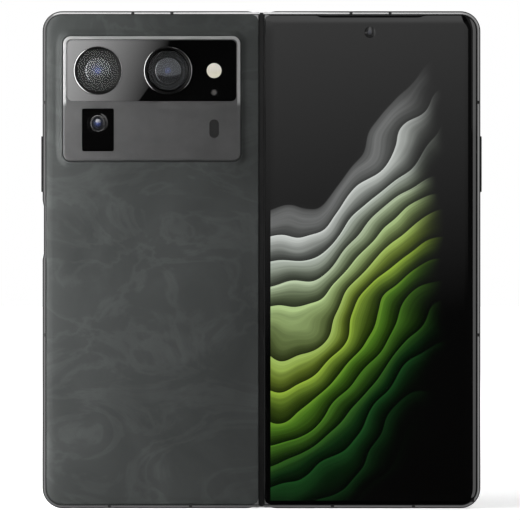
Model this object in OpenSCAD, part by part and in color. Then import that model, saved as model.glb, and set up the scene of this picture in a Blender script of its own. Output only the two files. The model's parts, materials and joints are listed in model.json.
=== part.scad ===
// Book-style folding phone, opened flat and standing on its bottom edge.
// Origin: under the hinge, in the middle of the whole thickness, on the standing edge.
// X runs across the opened phone and Z up its height. The covers face -Y, the folding display faces +Y.
// Depths are measured from the inner face of the opened halves towards the covers.

/* [Body] */
// Height of the phone
phone_h = 159.4; // [154:0.2:166]
// Width of one half, from its outer edge to the middle of the hinge
half_w = 70.2; // [68:0.2:74]
// Thickness of one half
body_t = 6.9; // [6.8:0.1:7.6]
// Radius of the four outer corners, seen from the front
corner_r = 6.4; // [5.6:0.2:8]
// Radius of the corners beside the hinge
inner_corner_r = 1.3; // [0.6:0.1:1.8]
// Gap from the middle of the hinge to each half, over the spine
edge_gap = 0.48; // [0.4:0.02:0.8]

/* [Frame] */
// Thickness of the frame's edge band, from its outside to its inner wall
band_t = 2.2; // [2:0.1:2.6]
// Height of the flat along the middle of the band, which the phone stands on
flat_h = 3.9; // [3.6:0.1:4]
// How far the rounded side of the band comes in before the bevel
round_in = 0.4; // [0.2:0.05:0.6]
// Width of the polished bevel beside the cover
bevel_w = 0.6; // [0.4:0.05:0.8]
// Height of that bevel
bevel_h = 0.4; // [0.3:0.05:0.45]
// How far the top of the bevel lies below the cover's face
lip_drop = 0.3; // [0.3:0.02:0.36]
// Thickness of the plate across the frame, under the folding display
midplate_t = 0.7; // [0.5:0.05:1]
// Thickness of the frame over the spine, beside the cover
hinge_rim_w = 0.48; // [0.3:0.02:0.8]
// Width of an antenna break in the band
break_w = 1; // [0.6:0.1:1.6]
// Distance of the inner antenna breaks on the top edge from the hinge
top_break_a = 28.7; // [27:0.1:32]
// Distance of the outer antenna breaks on the top edge from the outer edge
top_break_b = 29; // [29:0.1:30.2]
// Distance of the inner antenna breaks on the bottom edge from the hinge
low_break_a = 22.7; // [20:0.1:26]
// Distance of the outer antenna breaks on the bottom edge from the outer edge
low_break_b = 21.5; // [21.1:0.1:22.2]
// Height of the lower antenna break in the side
side_break_low = 55.6; // [45:0.2:65]
// Distance of the upper antenna break in the side from the top edge
side_break_drop = 29.3; // [24:0.1:33]

/* [Covers] */
// Thickness of the back cover and of the cover glass at their middle
cover_t = 0.5; // [0.46:0.02:0.6]
// Distance from the outside of the band to the edge of a cover
cover_inset = 1.28; // [1.15:0.01:1.5]
// Width of the curved edge of a cover
cover_curve_w = 3; // [2:0.1:4]
// How far a cover's face drops at its edge
cover_curve_h = 0.34; // [0.2:0.02:0.36]
// Thickness of the lit layer under the cover glass
cover_oled_t = 0.2; // [0.1:0.02:0.21]
// Thickness of the metal backing under that layer
cover_backing_t = 0.3; // [0.2:0.05:0.5]
// Distance of the cover display's hinge-side edge from the hinge
cover_display_x = 2.9; // [2.8:0.1:4]
// Length of the earpiece slit above the cover glass
earpiece_l = 33.2; // [20:0.2:36]
// Height of the earpiece slit
earpiece_h = 0.34; // [0.2:0.02:0.5]

/* [Folding display] */
// Thickness of the soft bezel round the folding display
bezel_t = 0.3; // [0.2:0.05:0.4]
// Width of that bezel
bezel_w = 2.25; // [1.8:0.05:3]
// Thickness of the folding display, with its backing
film_t = 0.5; // [0.4:0.05:0.6]
// Half width of the part of the display that bends
fold_half = 8; // [7.6:0.1:8.4]

/* [Hinge] */
// Depth of the two hinge axes below the inner face
axis_v = 2.1; // [2.05:0.01:2.2]
// Gap between the halves' inner faces when the phone is closed
closed_gap = 0.6; // [0.5:0.02:0.7]
// Thickness of the frame's web over the spine
web_t = 0.25; // [0.2:0.01:0.3]
// Gap between the web and the back of the spine
web_gap = 0.1; // [0.06:0.01:0.14]
// Gap between the spine and the channel that each half turns round it with
channel_gap = 0.15; // [0.1:0.01:0.2]
// Wall of the spine cover
spine_wall = 0.6; // [0.5:0.02:0.7]
// How far the spine's ends lie inside the top and bottom edges
spine_inset = 0.5; // [0.3:0.1:1]
// Depth of the edge of the spine cover, which the swing arms pass over
spine_edge_v = 3.6; // [3.55:0.01:3.7]
// Radius of a swing arm's knuckle
knuckle_r = 1; // [0.95:0.01:1]
// Radius of a hinge pin
pin_r = 0.4; // [0.35:0.01:0.42]
// Running clearance of a pin in its bore
pin_fit = 0.04; // [0.03:0.01:0.06]
// Radius of an idler gear's pin
idler_pin_r = 0.28; // [0.25:0.01:0.3]
// Teeth of each of the four small gears
gear_teeth = 10; // [10:10:10]
// Length of the gears
gear_l = 3.6; // [3:0.1:4]
// Length of a swing arm's knuckle
knuckle_l = 4.8; // [4:0.1:5.4]
// Thickness of the hinge bracket's end walls
bracket_wall = 1.2; // [1:0.1:1.6]
// Thickness of a friction washer
washer_t = 0.4; // [0.3:0.05:0.5]
// Distance from the top or bottom edge to the nearer end of a hinge bracket
bracket_inset = 18; // [14:0.5:20]
// Thickness of a wing plate
wing_t = 0.4; // [0.3:0.02:0.42]
// Distance of a wing plate's pivot from the middle of the hinge
wing_pivot_x = 8.6; // [8.6:0.05:8.8]
// Length of a wing plate, from its pivot towards the hinge
wing_l = 4.9; // [4.7:0.02:4.92]
// How far a wing plate tilts into its half as the phone closes
wing_tilt = 22; // [20:0.5:22]
// Half width of the plate on the spine that carries the display's fold
centre_half = 2.8; // [2.5:0.05:2.85]
// Thickness of that plate
centre_t = 0.2; // [0.15:0.01:0.22]

/* [Camera island] */
// Width of the camera island
island_w = 56.7; // [56.2:0.1:57.4]
// Height of the camera island
island_h = 40; // [39.6:0.1:41]
// Distance from the island's inner side to the middle of the hinge
island_x = 6.75; // [6.6:0.05:7]
// Height of the island's top edge above the standing edge, measured down from the phone's top
island_drop = 8.2; // [8:0.1:8.8]
// Radius of the island's corners
island_r = 2.5; // [2:0.1:3]
// How far the island stands out of the back cover
island_rise = 1.5; // [1.2:0.05:1.8]
// Width of the polished bevel round the island
island_bevel = 0.3; // [0.2:0.05:0.5]
// Width of the ramp that the back cover rises by round the island
ramp_w = 2.5; // [2:0.1:2.6]
// Height of that ramp
ramp_h = 1; // [0.7:0.05:1.1]
// Distance from the island's edge to the wide camera window
window_inset = 1.2; // [1:0.05:1.4]
// Height of the wide camera window
window_h = 19.7; // [19.4:0.1:20.4]
// Radius of the window's corners
window_r = 1.7; // [1.2:0.1:2]
// Thickness of the camera windows
window_t = 0.6; // [0.5:0.05:0.7]
// Diameter of the two lens rings
ring_d = 15.4; // [15:0.1:15.8]
// How far the lens rings stand out of the window
ring_rise = 0.6; // [0.4:0.05:0.8]
// Distance between the two large lenses
lens_pitch = 22.4; // [22:0.1:23]
// Diameter of the lens glasses
lens_d = 13.6; // [13:0.1:14]
// Diameter of the flash window
flash_d = 4.75; // [4:0.05:5.2]
// Diameter of the light sensor's window
sensor_d = 2.1; // [1.6:0.1:2.6]
// Width of the portrait camera's window
portrait_w = 10.3; // [9.6:0.1:10.6]
// Height of the portrait camera's window
portrait_h = 13.8; // [13.2:0.1:14.2]
// Width of the rangefinder's window
range_w = 3.06; // [2.8:0.02:3.6]
// Height of the rangefinder's window
range_h = 5.9; // [5:0.1:6.4]

/* [Keys] */
// Length of the volume key and of the key on the other half
long_key_l = 17.9; // [16:0.1:19]
// Distance of the middle of those two keys from the top edge
long_key_drop = 49; // [47.4:0.1:49.8]
// Distance of the middle of the power key from the top edge
power_key_drop = 70.15; // [69.4:0.05:73.4]
// Length of the power key
power_key_l = 14.6; // [13:0.1:15]
// Width of the keys, across the band
key_w = 2; // [1.8:0.05:2.3]
// How far the two long keys stand out
key_rise = 0.5; // [0.4:0.05:0.6]
// Depth of the hollow that the power key lies in
power_hollow = 0.4; // [0.3:0.02:0.5]
// Gap round a key in its slot
key_fit = 0.1; // [0.08:0.01:0.15]
// Travel of a key
key_travel = 0.2; // [0.15:0.01:0.25]

/* [Ports and card tray] */
// How far the charging socket lies outside the middle of its half
usb_shift = 0.6; // [-1:0.1:1.6]
// Width of the socket's opening
usb_w = 8.34; // [8.3:0.01:8.4]
// Height of the socket's opening
usb_h = 2.56; // [2.5:0.01:2.6]
// Wall of the socket's shell
usb_wall = 0.3; // [0.25:0.01:0.32]
// Depth of the socket
usb_l = 6.8; // [6.2:0.1:7.4]
// Width of the card tray
tray_w = 10.6; // [10:0.1:11]
// Length of the card tray
tray_l = 19; // [17:0.5:20]
// Thickness of the card tray
tray_t = 0.9; // [0.8:0.05:1]
// Distance of the card tray's middle from the outer edge
tray_edge = 13.8; // [13.4:0.1:14.2]
// Distance of the top sound holes' middle from the hinge
top_holes_x = 46.1; // [45.6:0.1:46.6]
// Distance of the bottom sound holes' middle from the hinge
low_holes_x = 36.3; // [35:0.1:38]
// Radius of a sound hole
sound_hole_r = 0.42; // [0.3:0.02:0.5]

/* [Hidden] */

$fn = 64;
eps = 0.01;
glue = 0.02;

// Whole stack across the thickness
y_in = (body_t + island_rise + ring_rise) / 2;
mid_v = body_t / 2;
ledge_v = bezel_t + film_t;
midplate_v = ledge_v + midplate_t;
seat_v = body_t - cover_t;
lip_u = round_in + bevel_w;
long_key_z = phone_h - long_key_drop;
power_key_z = phone_h - power_key_drop;
usb_x = half_w / 2 + usb_shift;
tray_x = half_w - tray_edge;

// Hinge
axis_x = axis_v + closed_gap / 2;
pocket_v = seat_v - web_t;
spine_back_v = pocket_v - web_gap;
spine_r = spine_back_v - axis_v;
channel_r = spine_r + channel_gap;
inner_r = spine_r - spine_wall;
gear_step = 2 * axis_x / 3;
gear_module = gear_step / gear_teeth;
half_tooth = 180 / gear_teeth;
film_gap = 0.05;
wing_gap = 0.06;
wing_v = ledge_v + film_gap + wing_t / 2;
side_gap = 0.1;
block_x = 10.8;
foot_x = 10.2;
foot_t = 0.9;
foot_v = 2.5;
arm_gap = 0.15;
knuckle_z = bracket_wall + side_gap;
gear_z = knuckle_z + knuckle_l;
washer_z = gear_z + gear_l + side_gap;
bracket_l = washer_z + washer_t + side_gap + bracket_wall;
bracket_floor_v = axis_v + 2.35;
screw_r = 0.5;
film_inset = lip_u + 0.9;
end_cap_t = film_inset - spine_inset - film_gap;

// Camera island
island_z1 = phone_h - island_drop;
island_z0 = island_z1 - island_h;
island_x0 = -island_x - island_w;
island_v = body_t + island_rise;
ring_v = island_v + ring_rise;
island_gap = 0.1;
flange_w = 1.2;
flange_t = 0.5;
window_z1 = island_z1 - window_inset;
window_z0 = window_z1 - window_h;
lens_z = (window_z0 + window_z1) / 2;
main_x = island_x0 + 11.18;
wide_x = main_x + lens_pitch;
small_x = -island_x - 8.4;
sensor_z = lens_z - 7;
ring_seat_v = body_t + 0.3;
barrel_r = 6.3;
lens_recess = 0.15;
lens_t = 0.5;
portrait_z0 = island_z0 + 3.1;
range_z = island_z0 + 10.4;

// Inner stack
board_t = 0.8;
battery_t = 4.2;
inner_x = 11.2;
battery_side = 3;
battery_z0 = 24;
battery_top = 16;
board_side = 3.6;
speaker_l = 18;
speaker_half = 8.5;
flex_over = 9;
capsule_gap = 3.6;
capsule_w = 12;
board_drop = 6;
board_strip = 4.6;
battery_drop = 8;
charging_l = 20;
reader_gap = 3;
can_x = 5;
can_pitch = 19;
can_w = 17;
cover_cam_drop = 6.9;
inner_cam_drop = 9.5;

// A flat slab between two depths: the children are drawn in the X-Z plane
module slab(v0, v1) {
    translate([0, y_in - v0, 0])
        rotate([90, 0, 0])
            linear_extrude(v1 - v0)
                children();
}

// A rectangle with round corners between two opposite corners
module rounded(x0, z0, x1, z1, r) {
    translate([x0 + r, z0])
        square([x1 - x0 - 2 * r, z1 - z0]);
    translate([x0, z0 + r])
        square([x1 - x0, z1 - z0 - 2 * r]);
    for (x = [x0 + r, x1 - r], z = [z0 + r, z1 - r])
        translate([x, z])
            circle(r);
}

// A block given by two corners, in X and Z, and two depths
module block(x0, x1, z0, z1, v0, v1) {
    translate([x0, y_in - v1, z0])
        cube([x1 - x0, v1 - v0, z1 - z0]);
}

// A round bar along the depth
module bar_v(x, z, r, v0, v1) {
    translate([x, y_in - v0, z])
        rotate([90, 0, 0])
            cylinder(r = r, h = v1 - v0);
}

// Outline of the left half, drawn in the X-Z plane and moved in by an inset
module half_outline(inset, hinge_x, hinge_r) {
    r = corner_r - inset;
    x0 = -half_w + inset;
    z1 = phone_h - inset;
    translate([x0 + r, inset])
        square([-hinge_x - hinge_r - x0 - r, z1 - inset]);
    translate([x0, inset + r])
        square([r + eps, z1 - inset - 2 * r]);
    translate([-hinge_x - hinge_r - eps, inset + hinge_r])
        square([hinge_r + eps, z1 - inset - 2 * hinge_r]);
    for (z = [inset + r, z1 - r])
        translate([x0 + r, z])
            circle(r);
    for (z = [inset + hinge_r, z1 - hinge_r])
        translate([-hinge_x - hinge_r, z])
            circle(hinge_r);
}

// Profiles are lists of [distance in from the outline, depth], run along X, along Z or round a corner
module run_x(profile, x0, x1, z, inward) {
    translate([x0, 0, 0])
        rotate([90, 0, 90])
            linear_extrude(x1 - x0)
                polygon([for (p = profile) [y_in - p[1], z + inward * p[0]]]);
}

module run_z(profile, x, z0, z1, inward) {
    translate([0, 0, z0])
        linear_extrude(z1 - z0)
            polygon([for (p = profile) [x + inward * p[0], y_in - p[1]]]);
}

module corner_run(profile, x, z, r, turn) {
    translate([x, 0, z])
        rotate([0, turn, 0])
            rotate([90, 0, 0])
                rotate_extrude(angle = 90)
                    polygon([for (p = profile) [r - p[0], p[1] - y_in]]);
}

// A profile carried round the bottom, outer side and top of the left half
module edge_run(profile, hinge_x) {
    run_x(profile, -half_w + corner_r, -hinge_x, 0, 1);
    run_x(profile, -half_w + corner_r, -hinge_x, phone_h, -1);
    run_z(profile, -half_w, corner_r, phone_h - corner_r, 1);
    corner_run(profile, -half_w + corner_r, corner_r, corner_r, 180);
    corner_run(profile, -half_w + corner_r, phone_h - corner_r, corner_r, -90);
}

// A profile carried round a closed rectangle with round corners
module ring_run(profile, x0, z0, x1, z1, r) {
    run_x(profile, x0 + r, x1 - r, z0, 1);
    run_x(profile, x0 + r, x1 - r, z1, -1);
    run_z(profile, x0, z0 + r, z1 - r, 1);
    run_z(profile, x1, z0 + r, z1 - r, -1);
    corner_run(profile, x1 - r, z1 - r, r, 0);
    corner_run(profile, x1 - r, z0 + r, r, 90);
    corner_run(profile, x0 + r, z0 + r, r, 180);
    corner_run(profile, x0 + r, z1 - r, r, -90);
}

// Round side of the band: an arc that leaves the flat upright and reaches the bevel
bevel_foot_v = lip_drop + bevel_h;
side_rise = mid_v - flat_h / 2 - bevel_foot_v;
side_r = (side_rise * side_rise + round_in * round_in) / (2 * round_in);
side_turn = asin(side_rise / side_r);
side_arc = [for (i = [0:4]) let (t = side_turn * i / 4)
    [side_r * (1 - cos(t)), mid_v - flat_h / 2 - side_r * sin(t)]];
side_arc_back = [for (i = [4:-1:0]) [side_arc[i][0], body_t - side_arc[i][1]]];

band_profile = concat(
    [[band_t, ledge_v], [lip_u, ledge_v], [lip_u, lip_drop]],
    [for (i = [4:-1:0]) side_arc[i]],
    [for (i = [4:-1:0]) side_arc_back[i]],
    [[lip_u, body_t - lip_drop], [cover_inset - 0.15, body_t - lip_drop],
        [cover_inset - 0.15, seat_v], [band_t, seat_v]]);

// Section across the hinge side of the left half, drawn in the X-Y plane
module hinge_block_section() {
    difference() {
        union() {
            translate([-block_x, y_in - seat_v])
                square([block_x - edge_gap, seat_v - ledge_v]);
            polygon([for (p = [[0, pocket_v], [0, body_t - 0.25], [0.15, body_t - 0.1],
                [hinge_rim_w - 0.1, body_t - 0.1], [hinge_rim_w, body_t - 0.2],
                [hinge_rim_w, pocket_v]])
                [-edge_gap - p[0], y_in - p[1]]]);
        }
        translate([-axis_x, y_in - axis_v])
            circle(channel_r);
        translate([-axis_x, y_in - pocket_v])
            square([axis_x, pocket_v + 1]);
        wing_pocket_section();
    }
}

// Room for the wing plate, flat and tilted: a groove for its round edge and a ramp for its tilt
module wing_pocket_section() {
    groove = wing_t / 2 + wing_gap;
    drop = wing_t / 2 + 2 * wing_gap;
    foot = [-drop * sin(wing_tilt), -drop * cos(wing_tilt)];
    run = wing_l + 2;
    end = [foot[0] + run * cos(wing_tilt), foot[1] - run * sin(wing_tilt)];
    translate([-wing_pivot_x, y_in - wing_v])
        polygon([[-groove, 2], [-groove, 0], [-groove * 0.71, -groove * 0.71], foot, end, [end[0], 2]]);
}

// What the round corner beside the hinge leaves of a square one
module hinge_corner_cut(z, inward) {
    r = inner_corner_r;
    arc = [for (i = [6:-1:0]) let (a = 90 * i / 6)
        [-edge_gap - r + r * sin(a), z + inward * (r - r * cos(a))]];
    slab(-1, body_t + 1)
        polygon(concat([[-edge_gap - r, z - inward], [1, z - inward], [1, z + inward * r]], arc));
}

// Places of the antenna breaks, as blocks across the band of the left half
module break_blocks() {
    h = break_w / 2;
    for (x = [top_break_a, half_w - top_break_b])
        block(-x - h, -x + h, phone_h - band_t - eps, phone_h + 1, -1, body_t + 1);
    for (x = [low_break_a, half_w - low_break_b])
        block(-x - h, -x + h, -1, band_t + eps, -1, body_t + 1);
    for (z = [side_break_low, phone_h - side_break_drop])
        block(-half_w - 1, -half_w + band_t + eps, z - h, z + h, -1, body_t + 1);
}

// The band alone, round three sides of the left half
module band() {
    edge_run(band_profile, edge_gap);
}

module half_antenna_breaks() {
    intersection() {
        band();
        break_blocks();
    }
}

// Frame of the left half before the openings that the two halves don't share
module half_frame() {
    difference() {
        union() {
            band();
            slab(ledge_v, midplate_v)
                half_outline(lip_u + 0.6, block_x - 0.5, 0.1);
            translate([0, 0, band_t / 2])
                linear_extrude(phone_h - band_t)
                    hinge_block_section();
        }
        translate([-axis_x, y_in - axis_v, -1])
            cylinder(r = channel_r, h = phone_h + 2);
        block(-axis_x, 1, -1, phone_h + 1, -1, pocket_v);
        hinge_corner_cut(0, 1);
        hinge_corner_cut(phone_h, -1);
        break_blocks();
        for (z = [bracket_inset, phone_h - bracket_inset - bracket_l])
            arm_pocket(z);
    }
}

// Pocket for one swing arm's foot, open to the back and to the hinge
module arm_pocket(z) {
    block(-foot_x - side_gap, -axis_x, z + knuckle_z - side_gap,
        z + gear_z + side_gap, foot_v, seat_v + eps);
    for (dz = [0.28, 0.72])
        bar_v(-foot_x + 1, z + knuckle_z + knuckle_l * dz, screw_r + glue, midplate_v - 0.2, foot_v + eps);
}

// A slot with round ends along Z, cut or filled along X through the outer side
module key_form(u0, u1, z, length, width) {
    translate([-half_w + u0, y_in - mid_v, z])
        rotate([90, 0, 90])
            linear_extrude(u1 - u0) {
                square([width, length - width], center = true);
                for (s = [-1, 1])
                    translate([0, s * (length - width) / 2])
                        circle(width / 2);
            }
}

// A slot with round ends along X, cut or filled along Z
module slot_form(x, z0, z1, width, height, v) {
    translate([x, y_in - v, z0])
        linear_extrude(z1 - z0) {
            square([width - height, height], center = true);
            for (s = [-1, 1])
                translate([s * (width - height) / 2, 0])
                    circle(height / 2);
        }
}

// Sound holes in a row through the top or bottom band
module sound_holes(x, z, count) {
    for (i = [0:count - 1])
        translate([x + (i - (count - 1) / 2) * sound_hole_r * 4, y_in - mid_v, z - band_t - 1])
            cylinder(r = sound_hole_r, h = 2 * band_t + 2);
}

// The hollow that the power key lies in: the band's own profile, moved in
module power_hollow_cut() {
    outside = concat([for (i = [2:13]) band_profile[i]],
        [[lip_u, body_t + 1], [-2, body_t + 1], [-2, -1], [lip_u, -1]]);
    ramp_l = 2;
    half_l = power_key_l / 2 + 0.3;
    ramp = atan(power_hollow / ramp_l);
    run_z(outside, -half_w + power_hollow, power_key_z - half_l, power_key_z + half_l, 1);
    for (s = [-1, 1])
        translate([-half_w + power_hollow, 0, power_key_z + s * half_l])
            rotate([0, -s * ramp, 0])
                run_z(outside, 0, s > 0 ? -eps : -ramp_l - 1, s > 0 ? ramp_l + 1 : eps, 1);
}

module left_frame() {
    color("dimgray")
        difference() {
            half_frame();
            slab(seat_v - flange_t - 0.05, seat_v + eps)
                rounded(island_x0 - flange_w - 0.1, island_z0 - flange_w - 0.1,
                    -island_x + flange_w + 0.1, island_z1 + flange_w + 0.1, island_r + flange_w + 0.1);
            power_hollow_cut();
            key_form(-1, band_t + 1, long_key_z, long_key_l + 2 * key_fit, key_w + 2 * key_fit);
            key_form(-1, band_t + 1, power_key_z, power_key_l + 2 * key_fit, key_w + 2 * key_fit);
            slot_form(-usb_x, -1, band_t + 1, usb_w + 2 * usb_wall + 2 * key_fit,
                usb_h + 2 * usb_wall + 2 * key_fit, mid_v);
            slot_form(-tray_x, -1, tray_head_t + key_fit, tray_w + 2 + 2 * key_fit,
                tray_head_h + 2 * key_fit, mid_v);
            block(-tray_x - tray_w / 2 - key_fit, -tray_x + tray_w / 2 + key_fit, -1, band_t + 1,
                mid_v - tray_t / 2 - key_fit, mid_v + tray_t / 2 + key_fit);
            sound_holes(-top_holes_x, phone_h, 6);
            sound_holes(-usb_x - 9.1, 0, 1);
        }
}

module left_antenna_breaks() {
    color("black")
        half_antenna_breaks();
}

// A cover's curved edge and its flat middle, for the left half
cover_arc = [for (i = [0:5]) let (s = i / 5)
    [cover_inset + cover_curve_w * s, body_t - cover_curve_h * (1 - s) * (1 - s)]];

module cover_plate() {
    cover_x = edge_gap + hinge_rim_w + 0.06;
    edge_run(concat([[cover_inset, seat_v]], cover_arc,
        [[cover_inset + cover_curve_w, seat_v]]), cover_x);
    slab(seat_v, body_t)
        half_outline(cover_inset + cover_curve_w - 0.2, cover_x, 0.5);
}

// Ramp of the back cover round the camera island: a hollow curve up to the island's wall
ramp_top_w = 0.35;
ramp_root = 0.03;
ramp_profile = concat([[-island_gap, seat_v], [-island_gap, body_t + ramp_h]],
    [for (i = [0:6]) let (s = i / 6)
        [-island_gap - ramp_top_w - (ramp_w - ramp_top_w) * s,
            body_t - ramp_root + (ramp_h + ramp_root) * (1 - s) * (1 - s)]],
    [[-island_gap - ramp_w, seat_v + 0.2], [-island_gap - ramp_w / 2, seat_v]]);

module back_cover() {
    g = island_gap + ramp_w / 4;
    color("#454a48") {
        difference() {
            cover_plate();
            slab(seat_v - 1, body_t + 1)
                rounded(island_x0 - g, island_z0 - g, -island_x + g, island_z1 + g, island_r + g);
        }
        ring_run(ramp_profile, island_x0, island_z0, -island_x, island_z1, island_r);
    }
}

module camera_plinth() {
    wall_profile = [[0, seat_v - flange_t], [0, island_v - island_bevel], [island_bevel, island_v],
        [window_inset - 0.1, island_v], [window_inset - 0.1, seat_v - flange_t]];
    color("#6a6c6b")
        difference() {
            union() {
                ring_run(wall_profile, island_x0, island_z0, -island_x, island_z1, island_r);
                slab(body_t - 0.2, island_v)
                    rounded(island_x0 + 0.6, island_z0 + 0.6, -island_x - 0.6, island_z1 - 0.6,
                        island_r - 0.6);
                slab(seat_v - flange_t, seat_v)
                    difference() {
                        rounded(island_x0 - flange_w, island_z0 - flange_w, -island_x + flange_w,
                            island_z1 + flange_w, island_r + flange_w);
                        rounded(island_x0 + 0.7, island_z0 + 0.7, -island_x - 0.7, island_z1 - 0.7,
                            island_r - 0.7);
                    }
            }
            slab(island_v - window_t - 0.05, island_v + 1)
                rounded(island_x0 + window_inset, window_z0, -island_x - window_inset, window_z1,
                    window_r);
            for (x = [main_x, wide_x]) {
                bar_v(x, lens_z, ring_d / 2 + glue, ring_seat_v, island_v + 1);
                bar_v(x, lens_z, barrel_r + glue, body_t - 1, island_v + 1);
            }
            bar_v(small_x, lens_z, flash_d / 2 + glue, body_t - 1, island_v + 1);
            bar_v(small_x, sensor_z, sensor_d / 2 + glue, body_t - 1, island_v + 1);
            slab(island_v - window_t, island_v + 1)
                rounded(main_x - portrait_w / 2, portrait_z0, main_x + portrait_w / 2,
                    portrait_z0 + portrait_h, 0.6);
            bar_v(main_x, portrait_z0 + 8.9, 3.6, body_t - 1, island_v);
            slab(body_t - 1, island_v + 1)
                rounded(small_x - range_w / 2 - glue, range_z - range_h / 2 - glue,
                    small_x + range_w / 2 + glue, range_z + range_h / 2 + glue, range_w / 2 - 0.05);
        }
}

module camera_window_glass() {
    g = 0.12;
    color("#101214")
        difference() {
            slab(island_v - window_t - 0.05, island_v - 0.05)
                rounded(island_x0 + window_inset + g, window_z0 + g, -island_x - window_inset - g,
                    window_z1 - g, window_r - g);
            for (x = [main_x, wide_x])
                bar_v(x, lens_z, ring_d / 2 + glue, body_t, ring_v + 1);
            bar_v(small_x, lens_z, flash_d / 2 + glue, body_t, ring_v);
            bar_v(small_x, sensor_z, sensor_d / 2 + glue, body_t, ring_v);
        }
}

// A lens ring: a tube with a rounded rim and a seat for its glass
module lens_ring(x) {
    ro = ring_d / 2;
    ri = lens_d / 2 + glue;
    glass_v = ring_v - lens_recess - lens_t;
    translate([x, y_in, lens_z])
        rotate([90, 0, 0])
            rotate_extrude()
                polygon([[barrel_r + glue, ring_seat_v], [ro, ring_seat_v], [ro, ring_v - 0.18],
                    [ro - 0.06, ring_v - 0.06], [ro - 0.2, ring_v], [ri + 0.25, ring_v],
                    [ri, ring_v - 0.12], [ri, glass_v], [barrel_r + glue, glass_v]]);
}

module main_lens_ring() {
    color("silver")
        lens_ring(main_x);
}

module wide_lens_ring() {
    color("silver")
        lens_ring(wide_x);
}

module lens_glass(x) {
    bar_v(x, lens_z, lens_d / 2, ring_v - lens_recess - lens_t, ring_v - lens_recess);
}

module main_lens_glass() {
    color("#20242c")
        lens_glass(main_x);
}

module wide_lens_glass() {
    color("#20242c")
        lens_glass(wide_x);
}

// A camera: its square body, and a barrel with a stepped cone round a domed front lens
module camera(x, z, body_w, body_h, r, top_v) {
    front_r = r * 0.62;
    dome = [for (i = [0:5]) let (t = 90 * i / 5) [front_r * 0.9 * sin(t), top_v - 0.9 + 0.35 * cos(t)]];
    block(x - body_w / 2, x + body_w / 2, z - body_h / 2, z + body_h / 2, midplate_v, body_t - 1.7);
    translate([x, y_in, z])
        rotate([90, 0, 0])
            rotate_extrude()
                polygon(concat([[0, body_t - 1.8], [r, body_t - 1.8], [r, top_v],
                    [r - 0.35, top_v], [r - 0.7, top_v - 0.35], [r - 1.1, top_v - 0.35],
                    [front_r, top_v - 0.9]], [for (i = [5:-1:0]) dome[i]]));
}

module main_camera() {
    color("#141418")
        camera(main_x, lens_z, 13, 13, barrel_r, ring_v - lens_recess - lens_t - 0.05);
}

module wide_camera() {
    color("#141418")
        camera(wide_x, lens_z, 11, 13, barrel_r, ring_v - lens_recess - lens_t - 0.05);
}

module portrait_camera() {
    color("#141418")
        camera(main_x, portrait_z0 + 8.9, 9, 11, 3.5, island_v - window_t - 0.1);
}

module portrait_window_glass() {
    g = 0.1;
    color("#101214")
        slab(island_v - window_t, island_v)
            rounded(main_x - portrait_w / 2 + g, portrait_z0 + g, main_x + portrait_w / 2 - g,
                portrait_z0 + portrait_h - g, 0.5);
}

// A light guide that stands on the board and ends flush with the window
module flash_diffuser() {
    color("#d8d5c8")
        bar_v(small_x, lens_z, flash_d / 2, midplate_v + board_t, island_v - 0.05);
}

module light_sensor_window() {
    color("#4c4a4c")
        bar_v(small_x, sensor_z, sensor_d / 2, midplate_v + board_t, island_v - 0.05);
}

module rangefinder_window() {
    color("#0c0c10")
        slab(midplate_v + board_t, island_v)
            rounded(small_x - range_w / 2, range_z - range_h / 2, small_x + range_w / 2,
                range_z + range_h / 2, range_w / 2 - 0.05);
}

// Logic board: a strip beside the cameras and a foot below them, with shield cans
module main_board() {
    z0 = island_z0 - board_drop;
    foot_h = 7;
    strip_x = small_x - board_strip;
    color("darkgreen") {
        slab(midplate_v, midplate_v + board_t) {
            translate([-half_w + band_t + board_side, z0])
                square([half_w - band_t - board_side - inner_x, foot_h]);
            translate([strip_x, z0 + foot_h - eps])
                square([-inner_x - strip_x, phone_h - band_t - 1 - z0 - foot_h]);
        }
        for (x = [-half_w + band_t + can_x, -half_w + band_t + can_x + can_pitch])
            block(x, x + can_w, z0 + 0.8, z0 + foot_h - 0.8, midplate_v + board_t, midplate_v + 2.4);
    }
}

module left_battery() {
    color("#2a2c30")
        slab(midplate_v, midplate_v + battery_t)
            rounded(-half_w + band_t + battery_side, battery_z0, -inner_x, island_z0 - battery_drop, 1.2);
}

// Small board that carries the charging socket, notched round it
module charging_board() {
    color("darkgreen")
        slab(midplate_v, midplate_v + board_t)
            difference() {
                translate([-tray_x + tray_w / 2 + reader_gap, band_t + 0.3])
                    square([tray_x - tray_w / 2 - reader_gap - inner_x, charging_l]);
                translate([-usb_x - usb_w / 2 - usb_wall - 0.05, 0])
                    square([usb_w + 2 * usb_wall + 0.1, usb_l + 1]);
            }
}

// Charging socket: a pressed shell with its tongue, standing on the middle plate
module usb_c_port() {
    shell_w = usb_w + 2 * usb_wall;
    shell_h = usb_h + 2 * usb_wall;
    mouth_z = 0.35;
    color("silver") {
        difference() {
            union() {
                slot_form(-usb_x, mouth_z, usb_l, shell_w, shell_h, mid_v);
                for (s = [-1, 1])
                    block(-usb_x + s * 3 - 0.4, -usb_x + s * 3 + 0.4, usb_l - 3, usb_l - 1,
                        midplate_v, mid_v - usb_h / 2 - 0.1);
            }
            slot_form(-usb_x, mouth_z - 1, usb_l - 0.8, usb_w, usb_h, mid_v);
        }
        block(-usb_x - 3.35, -usb_x + 3.35, mouth_z + 0.6, usb_l - 0.7, mid_v - 0.35, mid_v + 0.35);
    }
}

module top_speaker() {
    color("#303236")
        block(-top_holes_x - 6, -top_holes_x + 6, island_z1 - 0.2, phone_h - band_t, midplate_v, body_t - 1.3);
}

// Two microphones, each behind its hole or on the board
module microphones() {
    color("goldenrod") {
        block(-usb_x - 10.6, -usb_x - 7.6, band_t + 0.35, band_t + 3.6, midplate_v + board_t, mid_v + 1);
        block(small_x - 1.5, small_x + 1.5, island_z1 - 1.5, island_z1 + 2, midplate_v + board_t, mid_v);
    }
}

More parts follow.
